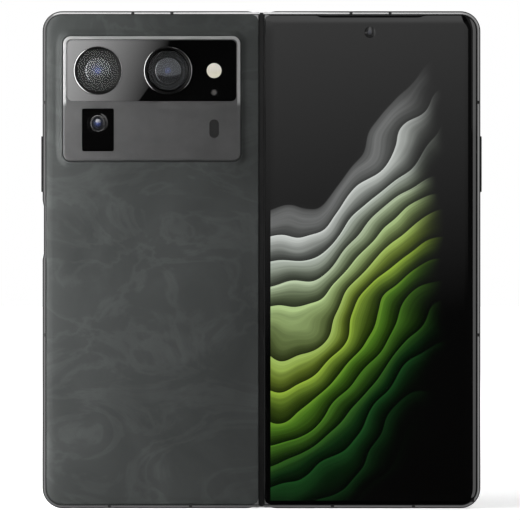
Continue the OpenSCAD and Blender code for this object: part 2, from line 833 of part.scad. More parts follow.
// Card tray: its head fills the hole in the band, and its plate carries one card
tray_head_t = 1.1;
tray_head_h = 1.9;
pin_hole_r = 0.35;

module card_tray() {
    rim = 0.9;
    color("dimgray") {
        difference() {
            slot_form(-tray_x, 0, tray_head_t, tray_w + 2, tray_head_h, mid_v);
            translate([-tray_x + tray_w / 2 + 0.45, y_in - mid_v, -1])
                cylinder(r = pin_hole_r, h = tray_head_t + 2);
        }
        slab(mid_v - tray_t / 2, mid_v + tray_t / 2)
            difference() {
                translate([-tray_x - tray_w / 2, tray_head_t - eps])
                    square([tray_w, tray_l - tray_head_t]);
                translate([-tray_x - tray_w / 2 + rim, tray_l - 13.2])
                    square([tray_w - 2 * rim, 12.4]);
            }
    }
}

// Card reader: a pressed box round the tray, open towards the band
module card_reader() {
    g = 0.12;
    wall = 0.3;
    w = tray_w + 2 * g;
    color("silver")
        difference() {
            block(-tray_x - w / 2 - wall, -tray_x + w / 2 + wall, band_t + 0.1, tray_l + 1.2,
                midplate_v, mid_v + tray_t / 2 + g + wall);
            block(-tray_x - w / 2, -tray_x + w / 2, 0, tray_l + 0.6,
                mid_v - tray_t / 2 - g, mid_v + tray_t / 2 + g);
        }
}

key_flange_t = 0.4;
flange_u = band_t + 0.2;
dome_u = flange_u + key_flange_t + key_travel + 0.05;

// A key: the cap that shows, its stem through the slot, and the flange that keeps it in
module key(z, length, rise) {
    key_form(-rise, flange_u + eps, z, length, key_w);
    translate([-half_w + flange_u, y_in - mid_v - key_w / 2 - 0.3, z - length / 2 - 0.5])
        cube([key_flange_t, key_w + 0.6, length + 1]);
}

module volume_rocker() {
    color("dimgray")
        key(long_key_z, long_key_l, key_rise);
}

module power_key() {
    color("#202224")
        key(power_key_z, power_key_l, -power_hollow - 0.05);
}

// Flexible strip behind the keys with its switch domes, standing on the middle plate
module side_key_flex() {
    z0 = power_key_z - flex_over;
    z1 = long_key_z + flex_over;
    strip_u = dome_u + 0.25;
    color("darkorange") {
        block(-half_w + strip_u, -half_w + strip_u + 0.3, z0, z1, midplate_v, mid_v + 1.2);
        for (z = [power_key_z, long_key_z - 6, long_key_z + 6])
            translate([-half_w + dome_u, y_in - mid_v, z])
                rotate([0, 90, 0])
                    cylinder(r = 0.9, h = 0.3);
    }
}

// Half of the folding display, up to the part that bends
module half_display() {
    slab(bezel_t, ledge_v)
        half_outline(film_inset, fold_half, 0.01);
}

bezel_profile = [[lip_u + 0.05, 0.06], [lip_u + 0.15, 0], [lip_u + bezel_w - 0.1, 0],
    [lip_u + bezel_w, 0.1], [lip_u + bezel_w, bezel_t], [lip_u + 0.85, bezel_t],
    [lip_u + 0.85, ledge_v], [lip_u + 0.05, ledge_v]];

module half_bezel() {
    rise = axis_v - ledge_v;
    bezel_end = axis_x + sqrt(channel_r * channel_r - rise * rise) + glue;
    edge_run(bezel_profile, bezel_end);
}

module left_display_panel() {
    color("#08090b")
        half_display();
}

module left_inner_bezel() {
    color("#161719")
        half_bezel();
}

// Places points given from a hinge axis, across it and deeper than it, in the X-Y plane
module at_axis(z) {
    translate([-axis_x, y_in - axis_v, z])
        children();
}

// Swing arm: foot screwed to the frame, a neck that dips under the wing plate, a knuckle and a gear
module swing_arm(z, phase) {
    neck = [[-foot_x + axis_x, foot_v - axis_v], [-3.9, foot_v - axis_v], [-3, 0.68], [-1.75, 1.22],
        [-1.25, 1.1], [-0.9, 0.3], [0.8, 0.5], [0.3, 1.95], [-1, 2.2], [-2.4, 1.85], [-2.85, 1.3],
        [-foot_x + axis_x, foot_v - axis_v + foot_t]];
    difference() {
        union() {
            at_axis(z + knuckle_z)
                linear_extrude(knuckle_l)
                    circle(knuckle_r);
            at_axis(z + knuckle_z)
                linear_extrude(knuckle_l)
                    polygon([for (p = neck) [p[0], -p[1]]]);
            at_axis(z + gear_z - eps)
                linear_extrude(gear_l + eps)
                    gear_section(phase);
        }
        at_axis(z)
            cylinder(r = pin_r + pin_fit, h = bracket_l);
        for (dz = [0.28, 0.72])
            bar_v(-foot_x + 1, z + knuckle_z + knuckle_l * dz, screw_r + glue, foot_v - 1,
                foot_v + foot_t + 1);
    }
}

// Gear outline: narrow teeth with rounded flanks, so that small wheels run free
module gear_section(phase) {
    pitch_r = gear_step / 2;
    tip_r = pitch_r + 0.8 * gear_module;
    root_r = pitch_r - 1.1 * gear_module;
    step = 360 / gear_teeth;
    polygon([for (i = [0:gear_teeth - 1])
        for (p = [[-0.26, root_r], [-0.2, pitch_r - 0.3 * gear_module], [-0.14, pitch_r + 0.3 * gear_module],
            [-0.05, tip_r], [0.05, tip_r], [0.14, pitch_r + 0.3 * gear_module],
            [0.2, pitch_r - 0.3 * gear_module], [0.26, root_r]])
            let (a = phase + step * (i + p[0]))
                [p[1] * cos(a), p[1] * sin(a)]]);
}

module left_upper_swing_arm() {
    color("slategray")
        swing_arm(phone_h - bracket_inset - bracket_l, 0);
}

module left_lower_swing_arm() {
    color("slategray")
        swing_arm(bracket_inset, 0);
}

// Screws that hold the swing arms' feet
module arm_screws() {
    for (z = [bracket_inset, phone_h - bracket_inset - bracket_l], dz = [0.28, 0.72])
        let (sz = z + knuckle_z + knuckle_l * dz) {
            bar_v(-foot_x + 1, sz, screw_r, midplate_v - 0.1, foot_v + foot_t + eps);
            bar_v(-foot_x + 1, sz, 0.95, foot_v + foot_t, foot_v + foot_t + 0.4);
        }
}

module left_hinge_screws() {
    color("silver")
        arm_screws();
}

// Wing plate: tilts into its half so that the display can bend in a wide loop
module wing_plate() {
    translate([-wing_pivot_x, y_in - wing_v, band_t + 0.8])
        linear_extrude(phone_h - 2 * band_t - 1.6) {
            circle(wing_t / 2);
            translate([0, -wing_t / 2])
                square([wing_l, wing_t]);
        }
}

module left_wing_plate() {
    color("lightsteelblue")
        wing_plate();
}

// Both of the round sides and the flat back of the spine, in the X-Y plane
module spine_section(r) {
    for (s = [-1, 1])
        translate([s * axis_x, y_in - axis_v])
            circle(r);
    translate([-axis_x + 0.3, y_in - axis_v - r])
        square([2 * axis_x - 0.6, 2 * r]);
}

module below(v) {
    translate([-20, y_in - v - 20])
        square([40, 20]);
}

module spine_cover() {
    color("#4a4d4e")
        translate([0, 0, spine_inset + end_cap_t])
            linear_extrude(phone_h - 2 * (spine_inset + end_cap_t))
                difference() {
                    intersection() {
                        spine_section(spine_r);
                        below(spine_edge_v);
                    }
                    spine_section(inner_r);
                }
}

module spine_end_caps() {
    color("#4a4d4e")
        for (z = [spine_inset, phone_h - spine_inset - end_cap_t])
            translate([0, 0, z])
                linear_extrude(end_cap_t)
                    intersection() {
                        spine_section(spine_r);
                        below(0);
                    }
}

// Hinge bracket: two end walls, a rib between the knuckles and a floor on the spine cover
module hinge_bracket(z) {
    fit_r = inner_r - glue;
    wall_top_v = 1.55;
    module wall(t, length) {
        translate([0, 0, z + t])
            linear_extrude(length) {
                intersection() {
                    spine_section(fit_r);
                    below(wall_top_v);
                }
                for (s = [-1, 1])
                    translate([s * axis_x, y_in - axis_v])
                        circle(knuckle_r - 0.03);
            }
    }
    difference() {
        union() {
            wall(0, bracket_wall);
            wall(bracket_l - bracket_wall, bracket_wall);
            translate([0, 0, z + bracket_wall - eps])
                linear_extrude(bracket_l - 2 * bracket_wall + 2 * eps)
                    intersection() {
                        spine_section(fit_r);
                        below(bracket_floor_v);
                    }
            block(-gear_step / 2 - 0.4, gear_step / 2 + 0.4, z + bracket_wall - eps,
                z + gear_z - side_gap, wall_top_v - 0.25, bracket_floor_v + eps);
        }
        for (s = [-1, 1]) {
            translate([s * axis_x, y_in - axis_v, z - 1])
                cylinder(r = pin_r + pin_fit, h = bracket_l + 2);
            translate([s * gear_step / 2, y_in - axis_v, z + bracket_wall])
                cylinder(r = idler_pin_r + pin_fit, h = bracket_l);
        }
        for (t = [0.35, 0.65])
            bar_v(0, z + bracket_l * t + 1.4, screw_r + glue, bracket_floor_v - 2.8, spine_back_v);
    }
}

module upper_hinge_bracket() {
    color("gray")
        hinge_bracket(phone_h - bracket_inset - bracket_l);
}

module lower_hinge_bracket() {
    color("gray")
        hinge_bracket(bracket_inset);
}

module hinge_pins() {
    color("silver")
        for (z = [bracket_inset, phone_h - bracket_inset - bracket_l], s = [-1, 1])
            translate([s * axis_x, y_in - axis_v, z - 0.3]) {
                cylinder(r = pin_r, h = bracket_l + 0.4);
                cylinder(r = pin_r + 0.25, h = 0.3 - glue);
            }
}

module idler_gears(s, phase) {
    for (z = [bracket_inset, phone_h - bracket_inset - bracket_l])
        translate([s * gear_step / 2, y_in - axis_v, z + gear_z])
            linear_extrude(gear_l)
                difference() {
                    gear_section(phase);
                    circle(idler_pin_r + pin_fit);
                }
}

module left_idler_gears() {
    color("gold")
        idler_gears(-1, half_tooth);
}

module right_idler_gears() {
    color("gold")
        idler_gears(1, 0);
}

module idler_pins() {
    color("silver")
        for (z = [bracket_inset, phone_h - bracket_inset - bracket_l], s = [-1, 1])
            translate([s * gear_step / 2, y_in - axis_v, z + bracket_wall + 0.2])
                cylinder(r = idler_pin_r, h = bracket_l - bracket_wall - 0.2);
}

module friction_washers() {
    color("goldenrod")
        for (z = [bracket_inset, phone_h - bracket_inset - bracket_l], s = [-1, 1])
            translate([s * axis_x, y_in - axis_v, z + washer_z])
                linear_extrude(washer_t)
                    difference() {
                        circle(knuckle_r - 0.1);
                        circle(pin_r + pin_fit);
                    }
}

// Plate along the middle of the spine, under the fold, carried by the brackets and the end caps
module centre_plate() {
    v0 = ledge_v + film_gap;
    color("lightsteelblue")
        block(-centre_half, centre_half, spine_inset + end_cap_t, phone_h - spine_inset - end_cap_t,
            v0, v0 + centre_t);
}

module spine_screws() {
    color("silver")
        for (z = [bracket_inset, phone_h - bracket_inset - bracket_l], t = [0.35, 0.65])
            let (sz = z + bracket_l * t + 1.4)
                bar_v(0, sz, screw_r, bracket_floor_v - 0.5, spine_back_v - spine_wall - glue);
}

module display_fold_zone() {
    color("#0c0d10")
        block(-fold_half, fold_half, film_inset, phone_h - film_inset, bezel_t, ledge_v);
}

module right_frame() {
    color("dimgray")
        mirror([1, 0, 0])
            difference() {
                half_frame();
                key_form(-1, band_t + 1, long_key_z, long_key_l + 2 * key_fit, key_w + 2 * key_fit);
                sound_holes(-low_holes_x, 0, 5);
                display_recess();
                bar_v(-inner_cam_x, inner_cam_z, inner_cam_r + glue, -1, midplate_v + 1);
                earpiece_slit();
            }
}

// Room in the frame's web for the cover display, drawn on the left and mirrored
module display_recess() {
    block(-half_w + cover_inset + 0.8, -cover_display_x + 0.05, cover_inset + 0.8,
        phone_h - cover_inset - 1.6, seat_v - cover_oled_t, seat_v + 1);
}

earpiece_x = 34.9;

module earpiece_slit() {
    block(-earpiece_x - earpiece_l / 2, -earpiece_x + earpiece_l / 2,
        phone_h - cover_inset - 0.36, phone_h - cover_inset + earpiece_h - 0.36, seat_v - 0.6, body_t);
}

module right_antenna_breaks() {
    color("black")
        mirror([1, 0, 0])
            difference() {
                half_antenna_breaks();
                display_recess();
                earpiece_slit();
            }
}

cover_cam_x = 34.7;
cover_cam_z = phone_h - cover_cam_drop;
cover_cam_r = 1.9;

// Cover glass: notched along its top edge for the earpiece
module cover_glass() {
    color("#15181a")
        mirror([1, 0, 0])
            difference() {
                cover_plate();
                block(-earpiece_x - earpiece_l / 2, -earpiece_x + earpiece_l / 2,
                    phone_h - cover_inset - 0.36, phone_h, seat_v - 1, body_t + 1);
            }
}

module cover_display_panel() {
    color("#1c2a18")
        mirror([1, 0, 0])
            difference() {
                union() {
                    slab(seat_v - cover_oled_t, seat_v)
                        half_outline(cover_inset + 0.85, cover_display_x, 0.6);
                    slab(seat_v - cover_oled_t - cover_backing_t, seat_v - cover_oled_t)
                        half_outline(band_t + 0.1, block_x + 0.1, 0.6);
                }
                bar_v(-cover_cam_x, cover_cam_z, cover_cam_r + 0.05, 0, body_t);
                block(-half_w, 0, phone_h - cover_inset - 1.65, phone_h, 0, body_t);
            }
}

// Selfie camera behind the cover glass: a square body and a small barrel
module cover_camera() {
    color("#101014") {
        block(cover_cam_x - 3, cover_cam_x + 3, cover_cam_z - 3, cover_cam_z + 3, midplate_v, body_t - 2);
        bar_v(cover_cam_x, cover_cam_z, cover_cam_r, body_t - 2, seat_v - glue);
    }
}

inner_cam_x = 57;
inner_cam_z = phone_h - inner_cam_drop;
inner_cam_r = 1.9;

// Camera for the folding display: its barrel passes the middle plate and ends in the display
module inner_camera() {
    color("#101014") {
        bar_v(inner_cam_x, inner_cam_z, inner_cam_r, bezel_t + 0.1, midplate_v);
        block(inner_cam_x - 3, inner_cam_x + 3, inner_cam_z - 3, inner_cam_z + 3, midplate_v, midplate_v + 2.6);
    }
}

// Earpiece: its capsule on the middle plate and the mesh that fills the slit
module earpiece() {
    z0 = cover_cam_z + 0.3;
    mesh_z = phone_h - cover_inset - 0.36;
    color("#26282a") {
        block(cover_cam_x + capsule_gap, cover_cam_x + capsule_gap + capsule_w, z0,
            phone_h - band_t - 0.1, midplate_v, body_t - 1.4);
        block(earpiece_x - earpiece_l / 2 + 0.05, earpiece_x + earpiece_l / 2 - 0.05,
            mesh_z + 0.03, mesh_z + earpiece_h - 0.03, seat_v - 0.55, body_t - 0.45);
    }
}

module right_battery() {
    color("#2a2c30")
        slab(midplate_v, midplate_v + battery_t)
            rounded(inner_x, battery_z0, half_w - band_t - battery_side, phone_h - battery_top, 1.2);
}

module bottom_speaker() {
    color("#303236")
        block(low_holes_x - speaker_half, low_holes_x + speaker_half, band_t + 0.1, band_t + speaker_l,
            midplate_v, body_t - 1.3);
}

module side_key() {
    color("dimgray")
        mirror([1, 0, 0])
            key(long_key_z, long_key_l, key_rise);
}

module right_display_panel() {
    color("#08090b")
        difference() {
            mirror([1, 0, 0])
                half_display();
            bar_v(inner_cam_x, inner_cam_z, inner_cam_r + glue, -1, midplate_v);
        }
}

module right_inner_bezel() {
    color("#161719")
        mirror([1, 0, 0])
            half_bezel();
}

// The right arms' gears stand half a tooth on, to mesh with their idlers
module right_swing_arms() {
    color("slategray")
        for (z = [bracket_inset, phone_h - bracket_inset - bracket_l])
            mirror([1, 0, 0])
                swing_arm(z, half_tooth);
}

module right_wing_plate() {
    color("lightsteelblue")
        mirror([1, 0, 0])
            wing_plate();
}

module right_hinge_screws() {
    color("silver")
        mirror([1, 0, 0])
            arm_screws();
}

left_frame();
left_antenna_breaks();
back_cover();
camera_plinth();
camera_window_glass();
main_lens_ring();
wide_lens_ring();
main_lens_glass();
wide_lens_glass();
main_camera();
wide_camera();
portrait_camera();
portrait_window_glass();
flash_diffuser();
light_sensor_window();
rangefinder_window();
main_board();
left_battery();
charging_board();
usb_c_port();
top_speaker();
microphones();
card_reader();
card_tray();
side_key_flex();
volume_rocker();
power_key();
left_display_panel();
left_inner_bezel();
left_upper_swing_arm();
left_lower_swing_arm();
left_wing_plate();
left_hinge_screws();
spine_cover();
spine_end_caps();
upper_hinge_bracket();
lower_hinge_bracket();
hinge_pins();
left_idler_gears();
right_idler_gears();
idler_pins();
friction_washers();
centre_plate();
spine_screws();
display_fold_zone();
right_frame();
right_antenna_breaks();
cover_glass();
cover_display_panel();
cover_camera();
inner_camera();
earpiece();
right_battery();
bottom_speaker();
side_key();
right_display_panel();
right_inner_bezel();
right_swing_arms();
right_wing_plate();
right_hinge_screws();
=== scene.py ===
# %% [markdown]
# # A folding phone, dressed for its picture
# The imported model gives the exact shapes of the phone: frames, covers, hinge and insides, in metres.
# This file adds what the eye reads first: the leather-like cover that rolls off at its edges, black glass,
# polished bevels, camera lenses, the lit cover screen and the film that bends at the hinge.
# The phone stands upright and opened flat. +Z is up, and the outer faces look towards -Y.

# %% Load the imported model
import bpy, bmesh, json, math
import numpy as np
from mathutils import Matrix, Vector

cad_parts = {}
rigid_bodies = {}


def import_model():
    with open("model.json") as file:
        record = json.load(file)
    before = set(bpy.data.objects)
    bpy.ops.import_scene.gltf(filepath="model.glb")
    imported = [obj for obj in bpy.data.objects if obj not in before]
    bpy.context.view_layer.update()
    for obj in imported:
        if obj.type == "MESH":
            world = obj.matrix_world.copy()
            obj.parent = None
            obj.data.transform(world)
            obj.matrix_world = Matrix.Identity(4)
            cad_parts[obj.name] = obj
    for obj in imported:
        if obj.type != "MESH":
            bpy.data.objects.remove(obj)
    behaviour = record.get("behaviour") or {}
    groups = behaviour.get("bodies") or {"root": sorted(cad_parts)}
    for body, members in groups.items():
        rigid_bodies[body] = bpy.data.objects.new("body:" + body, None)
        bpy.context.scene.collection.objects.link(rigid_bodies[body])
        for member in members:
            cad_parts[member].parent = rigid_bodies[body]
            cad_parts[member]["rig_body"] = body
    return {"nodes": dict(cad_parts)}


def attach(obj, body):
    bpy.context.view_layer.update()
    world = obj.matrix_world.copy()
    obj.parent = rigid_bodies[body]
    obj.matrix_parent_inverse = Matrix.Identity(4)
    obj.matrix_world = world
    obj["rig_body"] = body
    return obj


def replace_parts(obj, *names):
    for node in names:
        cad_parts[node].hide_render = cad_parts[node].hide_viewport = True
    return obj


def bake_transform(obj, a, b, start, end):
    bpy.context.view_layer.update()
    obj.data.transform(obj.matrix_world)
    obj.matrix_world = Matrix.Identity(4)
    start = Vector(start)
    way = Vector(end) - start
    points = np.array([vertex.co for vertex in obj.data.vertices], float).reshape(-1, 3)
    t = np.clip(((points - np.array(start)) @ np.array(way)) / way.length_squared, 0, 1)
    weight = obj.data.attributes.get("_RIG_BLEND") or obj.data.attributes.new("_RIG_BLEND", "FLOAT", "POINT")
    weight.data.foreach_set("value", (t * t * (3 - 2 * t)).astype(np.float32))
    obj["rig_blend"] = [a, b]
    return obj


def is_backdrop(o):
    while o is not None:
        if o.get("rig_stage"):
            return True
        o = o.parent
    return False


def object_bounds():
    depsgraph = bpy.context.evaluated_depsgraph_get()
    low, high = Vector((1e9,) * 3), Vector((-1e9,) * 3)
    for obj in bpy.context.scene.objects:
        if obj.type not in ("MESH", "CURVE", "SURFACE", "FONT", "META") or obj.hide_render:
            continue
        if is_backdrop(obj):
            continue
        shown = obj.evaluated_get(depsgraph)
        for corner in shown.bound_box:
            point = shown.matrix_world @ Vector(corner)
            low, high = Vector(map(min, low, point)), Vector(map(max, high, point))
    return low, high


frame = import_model()
cad_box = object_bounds()
nodes = frame["nodes"]
slot_of = {name: holder.data.materials[0].name.split(".")[0] for name, holder in nodes.items()}
MM = 0.001

# %% [markdown]
# ## The places that the drawing fixes
# A phone maker measures every layer from one face. Here that face is the inner one, at y = 4.5 mm, and a depth
# of v millimetres behind it lies at y = 4.5 - v. The back cover ends at depth 6.9 and the camera rings at 9.0.
# All lengths below are millimetres, and the same as in the drawing.

# %% Depths and outlines
INNER_Y = 4.5
BODY_V, SEAT_V, ISLAND_V, RING_V = 6.9, 6.4, 8.4, 9.0
PHONE_H = 159.4
COVER = (-68.92, 1.28, -1.02, 158.12)
FREE_R, HINGE_R = 5.2, 2.0
ISLAND = (-63.45, 111.2, -6.75, 151.2)
ISLAND_R = 2.5
LENS_Z, MAIN_X, WIDE_X, SMALL_X = 140.15, -52.27, -29.87, -15.15
EYE_Z, SENSOR_Z = 123.2, 133.15
CAMERA = (-0.48, -927.4, 79.6)


def y_at(v):
    """The y of a depth v: y = 4.5 - v."""
    return INNER_Y - np.asarray(v, float)


print("cover face y:", float(y_at(BODY_V)), "ring top y:", float(y_at(RING_V)))

# %% [markdown]
# ## Camera first
# The picture was taken square on, from far away, so that the two halves look equally wide. A 200 mm lens
# 0.925 m in front of the phone gives the same flat view and still lets other views be framed from any side.

# %% Camera
lens = bpy.data.cameras.new("portrait_lens")
lens.lens = 200
lens.sensor_width = 36
lens.clip_start = 0.01
camera = bpy.data.objects.new("camera", lens)
camera.location = tuple(c * MM for c in CAMERA)
camera.rotation_euler = (math.radians(90), 0, 0)
bpy.context.scene.collection.objects.link(camera)
bpy.context.scene.camera = camera
print("camera at", tuple(round(c, 4) for c in camera.location))

# %% [markdown]
# ## Small tools for shapes
# Every new piece is a grid of points that is worked out in one go with numpy. A loop is a closed row of points,
# and a stack of loops makes a skin, as hoops make a barrel. A lathe turns a profile round an axis that looks
# out of the cover, which is how lens parts are really made.

# %% Mesh helpers


def make_piece(name, points, faces, body=None, sharp=40, replaces=()):
    """A mesh object from points in millimetres. Doubles are merged, faces are turned outwards, and edges
    sharper than the given angle stay sharp."""
    mesh = bpy.data.meshes.new(name)
    mesh.from_pydata((np.asarray(points, float) * MM).tolist(), [], faces)
    work = bmesh.new()
    work.from_mesh(mesh)
    bmesh.ops.remove_doubles(work, verts=work.verts, dist=1e-6)
    bmesh.ops.recalc_face_normals(work, faces=work.faces)
    work.to_mesh(mesh)
    work.free()
    mesh.shade_smooth()
    mesh.set_sharp_from_angle(angle=math.radians(sharp))
    piece = bpy.data.objects.new(name, mesh)
    bpy.context.scene.collection.objects.link(piece)
    if body:
        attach(piece, body)
    if replaces:
        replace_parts(piece, *replaces)
    print(f"{name}: {len(mesh.vertices)} points, {len(mesh.polygons)} faces")
    return piece


def grid_faces(rows, cols, close_rows=False, close_cols=True):
    """Index quads of a grid of rows x cols points; a closed direction joins its last line to its first."""
    r = np.arange(rows if close_rows else rows - 1)
    c = np.arange(cols if close_cols else cols - 1)
    i, j = np.meshgrid(r, c, indexing="ij")
    i2, j2 = (i + 1) % rows, (j + 1) % cols
    quads = np.stack([i * cols + j, i2 * cols + j, i2 * cols + j2, i * cols + j2], -1)
    return quads.reshape(-1, 4).tolist()


def rounded_loop(box, radii, side=44, corner=10):
    """Points (x, z) once round a rectangle with round corners: four arcs of the given radii, joined by
    straight runs of evenly spaced points. The corners come in the order low left, low right, high right,
    high left."""
    x0, z0, x1, z1 = box
    r = np.maximum(np.asarray(radii, float), 0.01)
    centres = np.array([[x0 + r[0], z0 + r[0]], [x1 - r[1], z0 + r[1]], [x1 - r[2], z1 - r[2]],
                        [x0 + r[3], z1 - r[3]]])
    turn = np.linspace(0, np.pi / 2, corner + 1)
    arcs = []
    for k in range(4):
        a = np.pi + k * np.pi / 2 + turn
        arcs.append(centres[k] + r[k] * np.stack([np.cos(a), np.sin(a)], -1))
    parts = []
    for k in range(4):
        here, there = arcs[k][-1], arcs[(k + 1) % 4][0]
        t = np.linspace(0, 1, side + 1)[1:-1, None]
        parts += [arcs[k], here + (there - here) * t]
    return np.concatenate(parts)


def inset(box, d):
    """A box drawn in by d on every side."""
    return (box[0] + d, box[1] + d, box[2] - d, box[3] - d)


def outside(x, z, box, r):
    """Signed distance from a rounded rectangle, positive outside it."""
    cx, cz = (box[0] + box[2]) / 2, (box[1] + box[3]) / 2
    qx = np.abs(x - cx) - (box[2] - box[0]) / 2 + r
    qz = np.abs(z - cz) - (box[3] - box[1]) / 2 + r
    return np.hypot(np.maximum(qx, 0), np.maximum(qz, 0)) + np.minimum(np.maximum(qx, qz), 0) - r


def lathe(name, x, z, profile, body, turns=96, sharp=40):
    """Turns a profile of (radius, depth) round an axis through (x, z) that looks out of the cover:
    (x + r cos a, 4.5 - v, z + r sin a). A profile that starts and ends on the axis, or runs back to its
    start, makes a closed piece."""
    r, v = np.array(profile, float).T
    a = np.linspace(0, 2 * np.pi, turns, endpoint=False)
    ring = np.stack([x + r[:, None] * np.cos(a), np.repeat(y_at(v)[:, None], turns, 1),
                     z + r[:, None] * np.sin(a)], -1)
    return make_piece(name, ring.reshape(-1, 3), grid_faces(len(r), turns), body, sharp)


# %% [markdown]
# ## Small tools for finishes
# A finish is a Principled shader with a few nodes in front of it. The nodes read Object coordinates in
# millimetres, so grain keeps its real size on every piece. Anything that is the same all over goes straight
# on the shader's own socket.

# %% Finish helpers
SOCKETS = {"colour": "Base Color", "metal": "Metallic", "rough": "Roughness", "ior": "IOR",
           "specular": "Specular IOR Level", "coat": "Coat Weight", "coat_rough": "Coat Roughness",
           "clear": "Transmission Weight", "glow": "Emission Strength", "glow_colour": "Emission Color",
           "tint": "Specular Tint"}


def grey(level, warm=0.0):
    """A near-neutral colour in linear light; warm adds red and takes blue."""
    return (level * (1 + warm), level, level * (1 - warm), 1.0)


def finish(name, **settings):
    """A new material whose constant values sit on the shader's own sockets."""
    material = bpy.data.materials.new(name)
    material.use_nodes = True
    shader = material.node_tree.nodes["Principled BSDF"]
    for key, value in settings.items():
        shader.inputs[SOCKETS[key]].default_value = value
    return material


def node(material, kind, *inputs, out=0, **options):
    """Adds a node; each input is a number, a colour or another node's output, and None keeps the default."""
    made = material.node_tree.nodes.new("ShaderNode" + kind)
    for key, value in options.items():
        setattr(made, key, value)
    for k, value in enumerate(inputs):
        if isinstance(value, bpy.types.NodeSocket):
            material.node_tree.links.new(value, made.inputs[k])
        elif value is not None:
            made.inputs[k].default_value = value
    return made.outputs[out]


def place(material, scale=(1, 1, 1), shift=(0, 0, 0)):
    """Object coordinates in millimetres, stretched and shifted."""
    raw = node(material, "TexCoord", out=3)
    in_mm = node(material, "VectorMath", raw, tuple(1000.0 * s for s in scale), operation="MULTIPLY")
    return node(material, "VectorMath", in_mm, shift, operation="ADD")


def cloud(material, where, size, detail=3.0, rough=0.5, warp=0.0):
    """Soft noise from 0 to 1 whose blobs are about size millimetres across."""
    made = material.node_tree.nodes.new("ShaderNodeTexNoise")
    material.node_tree.links.new(where, made.inputs["Vector"])
    made.inputs["Scale"].default_value = 1.0 / size
    made.inputs["Detail"].default_value = detail
    made.inputs["Roughness"].default_value = rough
    made.inputs["Distortion"].default_value = warp
    return made.outputs[0]


def sums(material, how, a, b=None, c=None):
    """One step of arithmetic."""
    return node(material, "Math", a, b, c, operation=how)


def between(material, value, low, high, a=0.0, b=1.0, smooth=True):
    """Carries value from low..high to a..b and holds it there."""
    made = material.node_tree.nodes.new("ShaderNodeMapRange")
    made.interpolation_type = "SMOOTHSTEP" if smooth else "LINEAR"
    for k, v in zip(("Value", "From Min", "From Max", "To Min", "To Max"), (value, low, high, a, b)):
        if isinstance(v, bpy.types.NodeSocket):
            material.node_tree.links.new(v, made.inputs[k])
        else:
            made.inputs[k].default_value = v
    return made.outputs[0]


def stops(material, value, *colours):
    """A colour that runs through (position, colour) stops."""
    made = material.node_tree.nodes.new("ShaderNodeValToRGB")
    ramp = made.color_ramp
    while len(ramp.elements) < len(colours):
        ramp.elements.new(0.5)
    for element, (position, colour) in zip(ramp.elements, colours):
        element.position, element.color = position, colour
    material.node_tree.links.new(value, made.inputs[0])
    return made.outputs[0]


def mixed(material, share, a, b):
    """a where share is 0 and b where it is 1."""
    made = material.node_tree.nodes.new("ShaderNodeMix")
    made.data_type = "RGBA"
    for k, v in ((0, share), (6, a), (7, b)):
        if isinstance(v, bpy.types.NodeSocket):
            material.node_tree.links.new(v, made.inputs[k])
        else:
            made.inputs[k].default_value = v
    return made.outputs[2]


def feed(material, key, value):
    """Links a pattern to the shader."""
    shader = material.node_tree.nodes["Principled BSDF"]
    material.node_tree.links.new(value, shader.inputs[SOCKETS.get(key, key)])


def relief(material, height, depth_mm, strength=1.0):
    """Bump whose height is given in millimetres."""
    made = material.node_tree.nodes.new("ShaderNodeBump")
    made.inputs["Strength"].default_value = strength
    made.inputs["Distance"].default_value = depth_mm * MM
    material.node_tree.links.new(height, made.inputs["Height"])
    feed(material, "Normal", made.outputs[0])


def axes(material, where):
    """The x, y and z of a vector."""
    made = material.node_tree.nodes.new("ShaderNodeSeparateXYZ")
    material.node_tree.links.new(where, made.inputs[0])
    return made.outputs[0], made.outputs[1], made.outputs[2]


def from_axis(material, x, z):
    """Distance in millimetres from the line through (x, z) that looks out of the cover."""
    px, _, pz = axes(material, place(material, shift=(-x, 0, -z)))
    return sums(material, "SQRT", sums(material, "ADD", sums(material, "MULTIPLY", px, px),
                                       sums(material, "MULTIPLY", pz, pz)))


def satin_metal(name, level, rough, grain=0.06, spread=0.1, polish=0.012, warm=0.0):
    """Blasted and anodised metal: fine pits, and a colour and gloss that wander a little."""
    m = finish(name, metal=1.0, tint=grey(0.12))
    where = place(m)
    patch = cloud(m, where, 9.0, 2.0)
    feed(m, "colour", stops(m, patch, (0.3, grey(level * (1 - spread), warm)),
                            (0.7, grey(level * (1 + spread), warm))))
    feed(m, "rough", between(m, cloud(m, where, 1.2, 2.0), 0.3, 0.7, rough - 0.04, rough + 0.05, False))
    relief(m, cloud(m, where, grain, 1.0), polish)
    return m


def polished_metal(name, level, rough=0.12, warm=0.0):
    """Cut and polished metal with the faint lines that the cutter leaves along the edge."""
    m = finish(name, metal=1.0, tint=grey(0.9))
    where = place(m)
    lines = cloud(m, place(m, (1, 6, 1)), 0.25, 2.0)
    feed(m, "colour", stops(m, cloud(m, where, 14.0, 2.0), (0.3, grey(level * 0.92, warm)),
                            (0.7, grey(level, warm))))
    feed(m, "rough", between(m, lines, 0.35, 0.65, rough, rough + 0.07, False))
    return m


def moulded(name, level, rough=0.5, warm=0.0, grain=0.12):
    """Moulded plastic with the fine erosion grain of its tool."""
    m = finish(name, specular=0.4)
    where = place(m)
    feed(m, "colour", stops(m, cloud(m, where, 5.0, 3.0), (0.3, grey(level * 0.85, warm)),
                            (0.7, grey(level * 1.1, warm))))
    feed(m, "rough", between(m, cloud(m, where, 0.8, 2.0), 0.3, 0.7, rough - 0.05, rough + 0.05, False))
    relief(m, cloud(m, where, grain, 2.0), 0.01)
    return m


